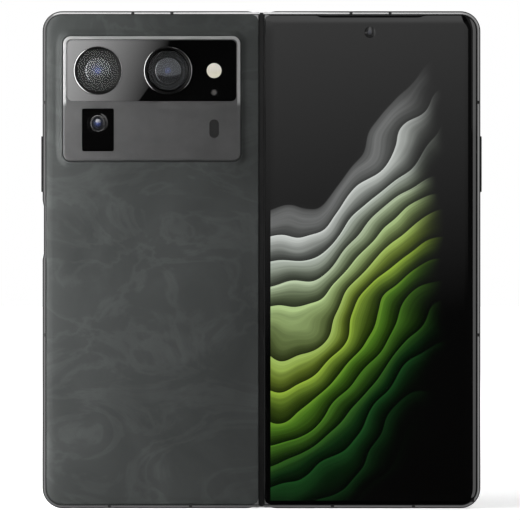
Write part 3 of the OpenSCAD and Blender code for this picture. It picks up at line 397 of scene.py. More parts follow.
def black_glass(name, level=0.004, rough=0.03, specular=0.5, smear=0.03):
    """Cover glass with a black print behind it: nearly no colour, a clear gloss, and the faintest smears."""
    m = finish(name, specular=specular)
    where = place(m)
    feed(m, "colour", stops(m, cloud(m, where, 18.0, 3.0), (0.3, grey(level * 0.8)), (0.7, grey(level * 1.2))))
    feed(m, "rough", between(m, cloud(m, where, 22.0, 4.0), 0.35, 0.7, rough, rough + smear, False))
    return m


print("tools ready")

# %% [markdown]
# ## The back cover's finish
# The real cover is a thin grey hide-like sheet with a fine pebble grain and pale, smoky veins. A smooth noise
# with strong distortion draws the veins, at a scale of one to three centimetres. Cells of a few tenths of a
# millimetre give the pebbles. The colour differences are small: the light does most of the work.

# %% Back cover finish
hide = finish("cover_hide", specular=0.22)
spot = place(hide)
drift = cloud(hide, place(hide, (1.0, 1.0, 0.8)), 34.0, 4.0, 0.55, 0.9)
veins = cloud(hide, place(hide, (1.0, 1.0, 1.5), (40, 0, 10)), 30.0, 6.0, 0.55, 1.5)
vein_line = between(hide, sums(hide, "ABSOLUTE", sums(hide, "SUBTRACT", veins, 0.5)), 0.0, 0.07, 1.0, 0.0)
tone = sums(hide, "ADD", sums(hide, "MULTIPLY", drift, 0.75), sums(hide, "MULTIPLY", vein_line, 0.13))
feed(hide, "colour", stops(hide, tone, (0.24, (0.029, 0.0317, 0.0307, 1)), (0.46, (0.041, 0.0445, 0.0433, 1)),
                           (0.70, (0.060, 0.0645, 0.0628, 1))))
pebbles = hide.node_tree.nodes.new("ShaderNodeTexVoronoi")
pebbles.feature = "SMOOTH_F1"
pebbles.inputs["Scale"].default_value = 1 / 0.42
hide.node_tree.links.new(node(hide, "VectorMath", spot, cloud(hide, spot, 1.1, 2.0), operation="ADD"),
                         pebbles.inputs["Vector"])
gloss_drift = sums(hide, "ADD", drift, sums(hide, "MULTIPLY", vein_line, 0.2))
feed(hide, "rough", between(hide, gloss_drift, 0.3, 0.9, 0.46, 0.38))
relief(hide, pebbles.outputs[0], 0.018, 0.6)
print("back cover finish:", hide.name)

# %% [markdown]
# ## The back cover's shape
# The sheet is flat in the middle, rolls down over the last 3 mm on its three free edges, and climbs in a
# hollow curve to the wall of the camera island. It is one skin: loops that start at the island's wall, spread
# to the cover's outline and return underneath, so that the solid is closed. The height is a function of the
# distance to the outline and to the island alone.

# %% Back cover shape


def edge_roll(x, z):
    """Depth of the cover's face: 6.56 + 0.34 (1 - (1 - d / 3)^2) at a distance d from the free edges. The
    last 0.12 mm before any edge is rounded by a further 0.05 mm."""
    free = (COVER[0], COVER[1], 60.0, COVER[3])
    inward = -outside(x, z, free, FREE_R)
    d = np.clip(inward, 0, 3) / 3
    lip = np.clip(np.minimum(inward, COVER[2] - x) / 0.12, 0, 1)
    return BODY_V - 0.34 * (1 - d) ** 2 - 0.05 * (1 - np.sqrt(1 - (1 - lip) ** 2))


def ramp_rise(x, z):
    """Rise beside the island: 1 mm up to 0.45 mm from its wall, then (1 - s)^2 down to nothing at 2.6 mm."""
    g = outside(x, z, ISLAND, ISLAND_R)
    s = np.clip((g - 0.45) / 2.15, 0, 1)
    crest = np.clip((g - 0.1) / 0.1, 0, 1)
    return (1 - s) ** 2 - 0.06 * (1 - np.sqrt(1 - (1 - crest) ** 2))


def stack_of_loops(loops, depths):
    """Points of a skin from loops of (x, z) and their depths."""
    return np.stack([np.concatenate([l[:, 0] for l in loops]), np.concatenate([y_at(d) for d in depths]),
                     np.concatenate([l[:, 1] for l in loops])], -1)


island_steps = [0.1, 0.12, 0.16, 0.22, 0.45, 0.62, 0.8, 1.0, 1.25, 1.5, 1.8, 2.15, 2.5]
edge_steps = [2.9, 2.4, 1.9, 1.4, 1.0, 0.65, 0.35, 0.15, 0.08, 0.03, 0.0]
loops = [rounded_loop(inset(ISLAND, -g), [ISLAND_R + g] * 4) for g in island_steps]
loops += [rounded_loop(inset(COVER, d), [FREE_R - d, HINGE_R - d, HINGE_R - d, FREE_R - d]) for d in edge_steps]
depths = [edge_roll(l[:, 0], l[:, 1]) + ramp_rise(l[:, 0], l[:, 1]) for l in loops]
seat = [np.full(len(loops[0]), SEAT_V + 0.02)] * 2
skin = stack_of_loops([loops[0]] + loops + [loops[-1]], [seat[0]] + depths + [seat[1]])
back_skin = make_piece("back_cover_skin", skin, grid_faces(len(loops) + 2, len(loops[0]), close_rows=True),
                       "left_half", 38, ["back_cover"])
back_skin.data.materials.append(hide)

# %% [markdown]
# ## The cover screen's picture
# The cover glass hides a lit screen. A screen gives off light, so its picture is an emission behind the glass
# gloss. The picture is a generic design made for this phone: ribbons of silk in waves, white on top, lime in
# the middle and deep green below, on graphite. One coordinate runs across the ribbons. Its fraction shades each
# fold from its bright crest to its dark foot, and a soft envelope fades the design into the dark.

# %% Screen picture
glass = finish("cover_screen_glass", colour=grey(0.0015), rough=0.03, specular=0.45, glow=1.0)
x, _, z = axes(glass, place(glass))
bend = cloud(glass, place(glass, (1, 1, 1), (7, 3, 0)), 42.0, 2.0, 0.45)
swell = sums(glass, "SINE", sums(glass, "MULTIPLY_ADD", x, 0.085, 0.4))
across = sums(glass, "SUBTRACT", z, sums(glass, "MULTIPLY", x, 0.62))
across = sums(glass, "ADD", across, sums(glass, "MULTIPLY", swell, 7.5))
across = sums(glass, "ADD", across, sums(glass, "MULTIPLY", bend, 46.0))
fold = sums(glass, "FRACT", sums(glass, "DIVIDE", across, 9.4))
crest = sums(glass, "POWER", fold, 1.7)
strands = node(glass, "CombineXYZ", sums(glass, "MULTIPLY", x, 0.03), 0.0, sums(glass, "MULTIPLY", across, 0.9))
fibre = cloud(glass, strands, 1.1, 3.0, 0.6)
shade = sums(glass, "MULTIPLY", sums(glass, "MULTIPLY_ADD", crest, 0.92, 0.05),
             between(glass, fibre, 0.25, 0.75, 0.62, 1.12, False))
hues = stops(glass, between(glass, across, 8.0, 118.0, 0, 1, False),
             (0.0, (0.004, 0.022, 0.006, 1)), (0.22, (0.012, 0.07, 0.014, 1)), (0.42, (0.10, 0.26, 0.02, 1)),
             (0.56, (0.42, 0.60, 0.07, 1)), (0.70, (0.50, 0.66, 0.30, 1)), (0.86, (0.60, 0.66, 0.58, 1)),
             (1.0, (0.78, 0.80, 0.79, 1)))
reach = cloud(glass, place(glass, (1, 1, 1), (0, 0, 30)), 26.0, 2.0)
fade_right = between(glass, sums(glass, "ADD", x, sums(glass, "MULTIPLY", reach, 22.0)), 50.0, 70.0, 1, 0)
fade_low = between(glass, across, 4.0, 30.0)
fade_high = between(glass, across, 112.0, 124.0, 1, 0)
envelope = sums(glass, "MULTIPLY", fade_right, sums(glass, "MULTIPLY", fade_low, fade_high))
ribbons = mixed(glass, sums(glass, "MULTIPLY", shade, envelope), (0, 0, 0, 1), hues)
climb = sums(glass, "SUBTRACT", z, sums(glass, "MULTIPLY", x, 0.6))
backdrop = stops(glass, between(glass, climb, -30.0, 155.0, 0, 1, False),
                 (0.0, grey(0.0006, 0.1)), (0.5, grey(0.0012)), (1.0, grey(0.003)))
picture = mixed(glass, envelope, backdrop, (0, 0, 0, 1))
lit = node(glass, "VectorMath", picture, ribbons, operation="ADD")
on_x = sums(glass, "MULTIPLY", between(glass, x, 2.85, 2.95), between(glass, x, 67.6, 67.7, 1, 0))
on_z = sums(glass, "MULTIPLY", between(glass, z, 2.5, 2.6), between(glass, z, 156.0, 156.1, 1, 0))
feed(glass, "glow_colour", mixed(glass, sums(glass, "MULTIPLY", on_x, on_z), (0, 0, 0, 1), lit))
feed(glass, "rough", between(glass, cloud(glass, place(glass), 24.0, 4.0), 0.35, 0.7, 0.02, 0.05, False))
print("screen picture:", len(glass.node_tree.nodes), "nodes")

# %% [markdown]
# ## The cover glass's shape
# It mirrors the back cover's outline: the same roll at its three free edges, and small round corners at the
# hinge, where the edge only has a fine lip.
# At the top it leaves the thin slit of the earpiece, which is a shallow dip in the glass's upper edge.

# %% Cover glass shape
plate = (-COVER[2], COVER[1], -COVER[0], COVER[3])


def slit_dip(x, z):
    """How far the top edge steps down for the earpiece: 0.36 mm between x 18.35 and 51.45, eased into the
    sheet over 2 mm."""
    along = np.clip((x - 17.9) / 0.5, 0, 1) * np.clip((51.9 - x) / 0.5, 0, 1)
    return 0.36 * along * np.clip((z - plate[3] + 2) / 2, 0, 1)


glass_loops = [rounded_loop(inset(plate, d), [HINGE_R - d, FREE_R - d, FREE_R - d, HINGE_R - d], 66)
               for d in edge_steps]
glass_depths = [edge_roll(-l[:, 0], l[:, 1]) for l in glass_loops]
glass_loops = [np.stack([l[:, 0], l[:, 1] - slit_dip(l[:, 0], l[:, 1])], -1) for l in glass_loops]
count = len(glass_loops[0])
glass_skin = stack_of_loops(glass_loops + [glass_loops[-1]], glass_depths + [np.full(count, SEAT_V + 0.02)])
rim_faces = grid_faces(len(glass_loops) + 1, count)
ends = [list(range(count)), list(range(len(glass_loops) * count, (len(glass_loops) + 1) * count))]
cover_sheet = make_piece("cover_glass_sheet", glass_skin, rim_faces + ends, "right_half", 38,
                         ["cover_glass"])
cover_sheet.data.materials.append(glass)

# %% [markdown]
# ## Metal pieces with clean shading
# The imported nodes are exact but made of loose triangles. A copy of a visible metal piece is merged, so that its
# round parts shade smoothly, and its cut bevels get a brighter, polished metal, as a diamond cutter leaves them
# on a real frame. The faces for each metal are picked with numpy by their place and direction.

# %% Smooth copies


def smoothed(name, angle=30):
    """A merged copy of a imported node, with smooth shading up to the angle. It stands for the node."""
    source = nodes[name]
    mesh = source.data.copy()
    mesh.name = name + "_finished"
    work = bmesh.new()
    work.from_mesh(mesh)
    bmesh.ops.remove_doubles(work, verts=work.verts, dist=2e-6)
    work.to_mesh(mesh)
    work.free()
    for extra in [a.name for a in mesh.attributes if a.name == "custom_normal"]:
        mesh.attributes.remove(mesh.attributes[extra])
    mesh.shade_smooth()
    mesh.set_sharp_from_angle(angle=math.radians(angle))
    piece = bpy.data.objects.new(name + "_finished", mesh)
    bpy.context.scene.collection.objects.link(piece)
    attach(piece, source["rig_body"])
    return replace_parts(piece, name)


def face_facts(piece):
    """Centres and normals of a piece's faces, centres in millimetres."""
    n = len(piece.data.polygons)
    centre, normal = np.zeros(n * 3), np.zeros(n * 3)
    piece.data.polygons.foreach_get("center", centre)
    piece.data.polygons.foreach_get("normal", normal)
    return centre.reshape(-1, 3) / MM, normal.reshape(-1, 3)


def two_metals(piece, plain, bright, picked):
    """Gives plain metal to a piece and bright metal to its picked faces."""
    piece.data.materials.clear()
    piece.data.materials.append(plain)
    piece.data.materials.append(bright)
    piece.data.polygons.foreach_set("material_index", picked.astype(np.int32))
    print(piece.name, "bright faces:", int(picked.sum()))


# %% Frame metals
frame_satin = satin_metal("frame_satin", 0.05, 0.34)
frame_bright = polished_metal("frame_cut_edge", 0.50, 0.16)
for name in ("left_frame", "right_frame"):
    piece = smoothed(name)
    c, n = face_facts(piece)
    slanted = (np.abs(n[:, 1]) > 0.3) & (np.abs(n[:, 1]) < 0.97)
    outer_cut = (c[:, 1] < -1.69) & (c[:, 1] > -2.13)
    inner_cut = (c[:, 1] > 3.79) & (c[:, 1] < 4.22)
    two_metals(piece, frame_satin, frame_bright, slanted & (outer_cut | inner_cut))

# %% [markdown]
# ## Facets beside the hinge
# Each cover has two round corners beside the hinge. Between such a corner and the frame's square one a small
# pale facet shows. It is a thin wedge: a point at the corner, joined to the arc by straight lines, and closed
# below.

# %% Corner facets
FACET_V, ARC_STEPS = 6.62, 12
facet_metal = satin_metal("corner_facet", 0.62, 0.40)
turn = np.linspace(0, np.pi / 2, ARC_STEPS)
for body, side in (("left_half", -1), ("right_half", 1)):
    for end, z0 in (("low", COVER[1]), ("high", COVER[3])):
        up = 1 if end == "low" else -1
        arc_x = -COVER[2] + HINGE_R * (1 - np.sin(turn))
        arc_z = z0 + up * HINGE_R * (1 - np.cos(turn))
        tip_x, tip_z = np.full(ARC_STEPS, -COVER[2]), np.full(ARC_STEPS, z0)
        rows = [(tip_x, tip_z, SEAT_V + 0.03), (tip_x, tip_z, FACET_V - 0.04), (arc_x, arc_z, FACET_V),
                (arc_x, arc_z, SEAT_V + 0.03)]
        points = np.concatenate([np.stack([side * a, np.full(ARC_STEPS, y_at(v)), b], -1) for a, b, v in rows])
        name = ("left_" if side < 0 else "right_") + end + "_corner_facet"
        facet = make_piece(name, points, grid_faces(4, ARC_STEPS, close_rows=True, close_cols=False),
                           body, 20)
        facet.data.materials.append(facet_metal)

# %% [markdown]
# ## The camera island's metal
# The island is a blasted metal block. Its outer edge is broken by a small quarter round, and beside the window
# lies the flat strip of its rim. A closed ring of loops draws that edge and strip. Its upper half is painted
# paler than the panel below, a painted highlight of light from above.

# %% Island metals
plinth_satin = satin_metal("island_satin", 0.19, 0.38)
plinth_bright = satin_metal("island_cut_edge", 0.12, 0.3)
plinth = smoothed("camera_plinth")
c, n = face_facts(plinth)
cut = (np.abs(n[:, 1]) > 0.3) & (np.abs(n[:, 1]) < 0.97) & (c[:, 1] < -3.58)
two_metals(plinth, plinth_satin, plinth_bright, cut)

# %% Island edge
edge_t = np.linspace(0, np.pi / 2, 9)
edge_d = np.concatenate([[0.03], 0.03 + 0.30 * (1 - np.cos(edge_t)), [1.02, 1.04, 0.03]])
edge_v = np.concatenate([[8.0], 8.19 + 0.23 * np.sin(edge_t), [8.42, 8.3, 8.0]])
edge_loops = [rounded_loop(inset(ISLAND, d), [ISLAND_R - d] * 4) for d in edge_d]
edge_count = len(edge_loops[0])
edge_skin = stack_of_loops(edge_loops, [np.full(edge_count, v) for v in edge_v])
island_edge = make_piece("island_edge", edge_skin, grid_faces(len(edge_d), edge_count, close_rows=True),
                         "left_half", 50)
rim_painted_highlight = satin_metal("island_rim_painted_highlight", 0.19, 0.36)
_, _, rim_z = axes(rim_painted_highlight, place(rim_painted_highlight))
# Painted highlight: the edge and rim are painted pale grey 0.62 above z 128.5 to 130.5 mm and keep grey 0.19 below.
feed(rim_painted_highlight, "colour", mixed(rim_painted_highlight, between(rim_painted_highlight, rim_z, 128.5, 130.5), grey(0.19), grey(0.62)))
island_edge.data.materials.append(rim_painted_highlight)

# %% Ring and spine metals
ring_bright = polished_metal("lens_ring_cut", 0.42, 0.13)
ring_dark = satin_metal("lens_ring_black", 0.02, 0.30)
for name in ("main_lens_ring", "wide_lens_ring"):
    piece = smoothed(name, 28)
    c, n = face_facts(piece)
    axis_x = MAIN_X if name.startswith("main") else WIDE_X
    r = np.hypot(c[:, 0] - axis_x, c[:, 2] - LENS_Z)
    two_metals(piece, ring_dark, ring_bright, (r > 7.4) & (c[:, 1] < -3.9))

spine_satin = satin_metal("spine_satin", 0.075, 0.36)
for name in ("spine_cover", "spine_end_caps"):
    smoothed(name).data.materials[0] = spine_satin
print("island, rings and spine finished")

# %% [markdown]
# ## Lenses
# Under each round window lies a black cone with fine steps that swallow stray light, and at its root the front
# lens, a small dome. The cone and dome are turned on the lathe. The dome's colours are painted reflections: rings
# of distance round the axis, soft at their edges, stand for the blue and violet that the coatings and inner
# elements throw back, with a painted bright centre and a painted blue glint at the upper left. The coat adds
# real glints on top.

# %% Lens finishes
baffle = finish("lens_baffle", specular=0.12)
feed(baffle, "colour", stops(baffle, cloud(baffle, place(baffle), 3.0, 2.0), (0.3, grey(0.004)),
                             (0.7, grey(0.007))))
feed(baffle, "rough", between(baffle, cloud(baffle, place(baffle), 0.6, 2.0), 0.3, 0.7, 0.34, 0.44, False))


def lens_painted_reflections(name, x, z, size, strength):
    """Painted reflections round a lens axis, for a dome of the given radius: light and dark rings for the inner
    elements, a bright blue centre and a blue glint towards the upper left. Strength scales them all.
    """
    m = finish(name, rough=0.06, specular=0.6, coat=0.6, coat_rough=0.02)
    r = sums(m, "DIVIDE", from_axis(m, x, z), size)
    px, _, pz = axes(m, place(m, shift=(-x, 0, -z)))
    lean = between(m, sums(m, "SUBTRACT", pz, px), -size, size)
    wave = sums(m, "ADD", r, sums(m, "MULTIPLY", cloud(m, place(m), size * 0.5, 2.0), 0.06))
    # Painted reflections: light and dark rings of colour by distance from the axis stand for the inner elements'
    # reflections, with a bright blue centre.
    rings = stops(m, wave, (0.0, (0.30, 0.36, 0.70, 1)), (0.06, (0.10, 0.13, 0.40, 1)),
                  (0.12, (0.01, 0.012, 0.05, 1)), (0.20, (0.07, 0.09, 0.27, 1)),
                  (0.27, (0.008, 0.009, 0.02, 1)), (0.36, (0.035, 0.037, 0.07, 1)),
                  (0.45, (0.006, 0.006, 0.009, 1)), (0.60, (0.034, 0.036, 0.042, 1)),
                  (0.68, (0.008, 0.008, 0.009, 1)), (0.80, (0.026, 0.028, 0.030, 1)),
                  (0.90, (0.006, 0.006, 0.007, 1)), (1.0, (0.003, 0.003, 0.003, 1)))
    # Painted glint: a faint blue added towards the upper left, inside three quarters of the radius.
    painted_glint = mixed(m, sums(m, "MULTIPLY", lean, between(m, r, 0.2, 0.75, 1, 0)), (0.0, 0.0, 0.0, 1),
                 (0.03, 0.045, 0.10, 1))
    both = node(m, "VectorMath", rings, painted_glint, operation="ADD")
    feed(m, "colour", node(m, "VectorMath", both, (strength, strength, strength), operation="MULTIPLY"))
    return m


# %% Lens cones and domes


def lens_stack(title, x, strength):
    """A stepped cone from radius 5.95 at depth 8.31 to radius 4.25 at depth 7.62, and a dome of radius 4.2."""
    t = np.repeat(np.linspace(0, 1, 8), 2)
    step = np.tile([0.0, 0.07], 8)
    cone_r = 5.92 - 1.65 * t
    cone_v = 8.30 - 0.62 * t ** 0.8 - step
    profile = [(0, 7.1), (6.26, 7.1), (6.26, 8.31), (5.95, 8.31)] + list(zip(cone_r, cone_v))
    profile += [(4.22, 7.56), (0, 7.56)]
    cone = lathe(title + "_lens_cone", x, LENS_Z, profile, "left_half", sharp=24)
    cone.data.materials.append(baffle)
    a = np.linspace(0, np.pi / 2, 14)
    dome_profile = [(4.2 * np.sin(u), 7.58 + 0.42 * np.cos(u)) for u in a] + [(4.2, 7.5), (0, 7.5)]
    dome = lathe(title + "_front_lens", x, LENS_Z, dome_profile, "left_half")
    dome.data.materials.append(lens_painted_reflections(title + "_lens_painted_reflections", x, LENS_Z, 4.2, strength))


lens_stack("main", MAIN_X, 0.60)
lens_stack("wide", WIDE_X, 0.30)

# %% Small windows and eyes
lens_clear = finish("lens_window_clear", colour=(0.93, 0.95, 0.97, 1), clear=1.0, ior=1.17, rough=0.0)
smear = cloud(lens_clear, place(lens_clear), 5.0, 2.0)
feed(lens_clear, "rough", between(lens_clear, smear, 0.4, 0.8, 0.0, 0.02, False))


def small_eye(title, x, z, v, r, body, strength, outward=1):
    """A lens under flat glass, seen as a low dome just over it: a dark ring and a middle with painted reflections.
    """
    a = np.linspace(0, np.pi / 2, 12)
    rise = 0.04 * r ** 0.5
    dome = [(0.66 * r * np.sin(u), v + outward * rise * np.cos(u)) for u in a]
    profile = dome + [(0.70 * r, v + outward * 0.004), (0.96 * r, v + outward * 0.012),
                      (r, v - outward * 0.03), (0, v - outward * 0.03)]
    eye = lathe(title, x, z, profile, body, 64)
    eye.data.materials.append(lens_painted_reflections(title + "_painted_reflections", x, z, r * 0.8, strength))


small_eye("portrait_lens_eye", MAIN_X, EYE_Z, ISLAND_V, 3.45, "left_half", 0.5)
small_eye("cover_lens_eye", 34.7, 152.5, BODY_V + 0.005, 1.75, "right_half", 0.15)
small_eye("inner_lens_eye", 57.0, 149.9, 0.1, 1.75, "right_half", 1.2, -1)

# %% [markdown]
# ## The film that bends
# Between the two flat panels the display is a bare film. It is bound to the left half, the hinge's spine and the
# right half, and each part bends smoothly from one to the next. Two closed slabs of many narrow strips do that,
# each blended across one joint. A faint valley runs along the fold, as on any phone of this kind, and the film's
# colour is painted a little paler near the fold, a painted sheen.

# %% Fold film


def film_slab(name, x0, x1, strips=40, rows=3):
    """A closed slab of film between two x, from depth 0.3 to 0.8 and z 1.9 to 157.5. Its face has a valley
    of 0.03 mm: depth 0.3 + 0.03 exp(-(x / 2.6)^2)."""
    x = np.linspace(x0, x1, strips + 1)
    valley = 0.03 * np.exp(-(x / 2.6) ** 2)
    z = np.linspace(1.9, PHONE_H - 1.9, rows * 12 + 1)
    loop_x = np.concatenate([x, x[::-1]])
    loop_v = np.concatenate([0.3 + valley, np.full(len(x), 0.8)])
    points = np.stack([np.tile(loop_x, len(z)), np.tile(y_at(loop_v), len(z)), np.repeat(z, len(loop_x))], -1)
    n = len(loop_x)
    caps = [list(range(n)), list(range((len(z) - 1) * n, len(z) * n))]
    return make_piece(name, points, grid_faces(len(z), n) + caps, None, 40)


film = finish("inner_film", specular=0.5)
fx, _, _ = axes(film, place(film))
# Painted sheen: within 6 mm of the fold the film's tone is raised by up to 0.15, so the fold reads paler.
crease_sheen = between(film, sums(film, "ABSOLUTE", fx), 0.0, 6.0, 1, 0)
tone_and_crease_sheen = sums(film, "ADD", cloud(film, place(film), 30.0, 3.0), sums(film, "MULTIPLY", crease_sheen, 0.15))
feed(film, "colour", stops(film, tone_and_crease_sheen, (0.3, grey(0.0045)), (0.9, grey(0.0085))))
feed(film, "rough", between(film, cloud(film, place(film), 25.0, 3.0), 0.3, 0.7, 0.05, 0.09, False))
relief(film, cloud(film, place(film, (1, 1, 0.25)), 9.0, 2.0), 0.012, 0.5)

# %% Film in its two slabs
FILM_REACH, FILM_Y, FILM_Z = 8.0, 3.7, 80.0


def film_line(x):
    """A point of the film's middle at x, in metres."""
    return (x * MM, FILM_Y * MM, FILM_Z * MM)


film_left = film_slab("fold_film_left", -FILM_REACH, 0.0)
film_left.data.materials.append(film)
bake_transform(film_left, "left_half", "spine", film_line(-FILM_REACH), film_line(0.0))
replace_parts(film_left, "display_fold_zone")
film_right = film_slab("fold_film_right", 0.0, FILM_REACH)
film_right.data.materials.append(film)
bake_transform(film_right, "spine", "right_half", film_line(0.0), film_line(FILM_REACH))
print("fold film in two slabs")

# %% [markdown]
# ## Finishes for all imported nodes
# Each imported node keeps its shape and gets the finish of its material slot: board green with copper lines,
# foil on the batteries, pressed and ground steels in the hinge, and so on. The inside shows when the covers
# are taken away in another use of the model, so it gets the same care.

# %% Inner finishes
board = finish("board_mask", specular=0.5)
bp = place(board)
tracks = board.node_tree.nodes.new("ShaderNodeTexBrick")
tracks.inputs["Scale"].default_value = 0.35
tracks.inputs["Mortar Size"].default_value = 0.05
board.node_tree.links.new(bp, tracks.inputs["Vector"])
feed(board, "colour", mixed(board, sums(board, "MULTIPLY", tracks.outputs[1], 0.7), (0.010, 0.045, 0.030, 1),
                            (0.35, 0.22, 0.07, 1)))
feed(board, "rough", between(board, cloud(board, bp, 2.0), 0.3, 0.7, 0.3, 0.45, False))
relief(board, tracks.outputs[1], 0.03, 0.5)

foil = finish("battery_wrap", specular=0.4)
feed(foil, "colour", stops(foil, cloud(foil, place(foil), 14.0, 3.0), (0.3, grey(0.018)), (0.7, grey(0.028))))
feed(foil, "rough", between(foil, cloud(foil, place(foil), 4.0, 4.0), 0.3, 0.7, 0.28, 0.5, False))
relief(foil, cloud(foil, place(foil, (1, 1, 0.3)), 6.0, 3.0), 0.05, 0.5)
print("board and foil ready")

# %% Flash and light sensor
flash = finish("flash_lens_plastic", specular=0.5, rough=0.25)
ridge = sums(flash, "SINE", sums(flash, "MULTIPLY", from_axis(flash, SMALL_X, LENS_Z), 21.0))
_, _, flash_z = axes(flash, place(flash))
feed(flash, "colour", mixed(flash, between(flash, flash_z, LENS_Z - 0.6, LENS_Z + 0.4),
                            (0.62, 0.585, 0.48, 1), (0.64, 0.615, 0.54, 1)))
relief(flash, ridge, 0.02, 0.5)

sensor = finish("sensor_glass", specular=0.5)
eye_share = sums(sensor, "DIVIDE", from_axis(sensor, SMALL_X, SENSOR_Z), 1.05)
feed(sensor, "colour", stops(sensor, eye_share, (0.0, grey(0.07, 0.06)), (0.62, grey(0.05, 0.06)),
                             (0.78, grey(0.012)), (1.0, grey(0.006))))
feed(sensor, "rough", between(sensor, cloud(sensor, place(sensor), 1.0), 0.3, 0.7, 0.12, 0.2, False))

print("flash and sensor ready")

# %% One finish for each slot
camera_black = moulded("camera_black", 0.012, 0.35)
key_glass = black_glass("power_key_gloss", 0.012, 0.12)
window_glass = black_glass("island_window_glass", 0.0012, 0.0, 0.5, 0.006)
slot_finish = {
    "frame_metal": frame_satin, "spine_metal": spine_satin, "antenna_plastic": moulded("break_plastic", 0.018, 0.42),
    "back_leather": hide, "plinth_metal": plinth_satin, "lens_ring_metal": ring_dark,
    "camera_window": window_glass, "lens_glass": lens_clear, "camera_body": camera_black,
    "flash_lens": flash, "sensor_window": sensor, "circuit_board": board, "battery_foil": foil,
    "pressed_steel": satin_metal("pressed_steel", 0.42, 0.38, 0.2, 0.12),
    "speaker_plastic": moulded("speaker_black", 0.02, 0.5),
    "microphone_can": satin_metal("can_nickel", 0.5, 0.25, 0.1, 0.1, 0.006, 0.05),
    "flex": moulded("flex_amber", 0.10, 0.4, 0.5), "power_key_glass": key_glass,
    "folding_display": film, "bezel_plastic": moulded("bezel_soft", 0.012, 0.45),
    "hinge_steel": satin_metal("hinge_steel", 0.38, 0.32, 0.15, 0.12),
    "plate_steel": satin_metal("plate_steel", 0.30, 0.36, 0.15, 0.1),
    "pin_steel": polished_metal("pin_steel", 0.6, 0.12), "cover_glass": glass,
    "cover_oled": black_glass("panel_back", 0.01, 0.3)}
for name, holder in nodes.items():
    holder.data.materials[0] = slot_finish[slot_of[name]]
for name in ("volume_rocker", "side_key", "power_key", "card_tray", "left_inner_bezel", "right_inner_bezel"):
    smoothed(name)
nodes["rangefinder_window"].data.materials[0] = black_glass("rangefinder_glass", 0.012, 0.12)
print("finishes given to", len(nodes), "nodes")

# %% [markdown]
# ## Floor and backdrop
# The picture stands on pure white. The floor is a pale matt sheet that fades into plain white away from the
# phone, and the world behind is white for the camera, for reflections behind the phone and through glass. For
# soft light it is grey, so that the lamps shape the phone. In front of the phone the studio is dark, as it is
# for a photographer who wants black glass to look black.

# %% Floor
HALF = 4
floor_mesh = bpy.data.meshes.new("floor")
floor_mesh.from_pydata([(-HALF, -HALF, 0), (HALF, -HALF, 0), (HALF, HALF, 0), (-HALF, HALF, 0)], [],
                       [(0, 1, 2, 3)])
floor = bpy.data.objects.new("floor", floor_mesh)
bpy.context.scene.collection.objects.link(floor)
floor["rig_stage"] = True
paper = finish("floor_paper", specular=0.1, rough=0.8, colour=grey(0.78))
far = sums(paper, "DIVIDE", node(paper, "VectorMath", place(paper), operation="LENGTH", out=1), 1000.0)
seen = node(paper, "LightPath", out=0)
feed(paper, "glow_colour", stops(paper, between(paper, far, 0.06, 0.5), (0.0, grey(0.52)), (1.0, grey(1.0))))
feed(paper, "glow", seen)
floor_mesh.materials.append(paper)
floor.visible_glossy = False

# %% World
world = bpy.data.worlds.new("studio")
bpy.context.scene.world = world
world.use_nodes = True
sky = world.node_tree
sky.nodes.clear()


def sky_node(kind, **options):
    """Adds a node to the world."""
    made = sky.nodes.new("ShaderNode" + kind)
    for key, value in options.items():
        setattr(made, key, value)
    return made


path = sky_node("LightPath")
direction = sky_node("TexCoord")
split = sky_node("SeparateXYZ")
sky.links.new(direction.outputs["Generated"], split.inputs[0])
front_to_back = sky_node("MapRange", interpolation_type="SMOOTHSTEP")
front_to_back.inputs["From Min"].default_value = -0.80
front_to_back.inputs["From Max"].default_value = 0.15
front_to_back.inputs["To Min"].default_value = 0.01
front_to_back.inputs["To Max"].default_value = 0.75
sky.links.new(split.outputs[1], front_to_back.inputs["Value"])
low_to_high = sky_node("MapRange")
low_to_high.inputs["From Min"].default_value = -0.9
low_to_high.inputs["From Max"].default_value = 0.3
low_to_high.inputs["To Min"].default_value = 0.5
sky.links.new(split.outputs[2], low_to_high.inputs["Value"])
reflected = sky_node("Math", operation="MULTIPLY")
sky.links.new(front_to_back.outputs[0], reflected.inputs[0])
sky.links.new(low_to_high.outputs[0], reflected.inputs[1])
glossy_level = sky_node("Mix", data_type="FLOAT")
glossy_level.inputs[2].default_value = 0.18
sky.links.new(path.outputs["Is Glossy Ray"], glossy_level.inputs[0])
sky.links.new(reflected.outputs[0], glossy_level.inputs[3])
clear_rays = sky_node("Math", operation="MAXIMUM")
sky.links.new(path.outputs["Is Camera Ray"], clear_rays.inputs[0])
sky.links.new(path.outputs["Is Transmission Ray"], clear_rays.inputs[1])
level = sky_node("Mix", data_type="FLOAT")
level.inputs[3].default_value = 1.0
sky.links.new(clear_rays.outputs[0], level.inputs[0])
sky.links.new(glossy_level.outputs[0], level.inputs[2])
shine = sky_node("Background")
shine.inputs["Color"].default_value = grey(1.0)
sky.links.new(level.outputs[0], shine.inputs["Strength"])
sky.links.new(shine.outputs[0], sky_node("OutputWorld").inputs[0])
print("floor and world ready")

# %% [markdown]
# ## Lamps
# Two strips and a soft box at the left give the fall of light from left to right. The low strip grazes the
# cover, so that the ramp round the island stands out, and it is kept out of reflections, because it would burn
# out the frame's bevel. A weak large box on the right opens the shadows. Strips above and at the right draw
# the light lines on the bevels, and one box behind lights the inner side. The camera sees no lamp.

# %% Soft boxes


def soft_box(name, at, aim, size, watts, shines=True):
    """A rectangular lamp at a point, turned to look at another; both in metres. Reflections show it only
    where shines is true."""
    lamp = bpy.data.lights.new(name, "AREA")
    lamp.shape = "RECTANGLE"
    lamp.size, lamp.size_y = size
    lamp.energy = watts
    holder = bpy.data.objects.new(name, lamp)
    holder.location = at
    holder.rotation_euler = (Vector(aim) - Vector(at)).to_track_quat("-Z", "Y").to_euler()
    holder.visible_camera = False
    holder.visible_glossy = shines
    bpy.context.scene.collection.objects.link(holder)
    print(name, "area", round(size[0] * size[1], 3), "m2,", watts, "W")


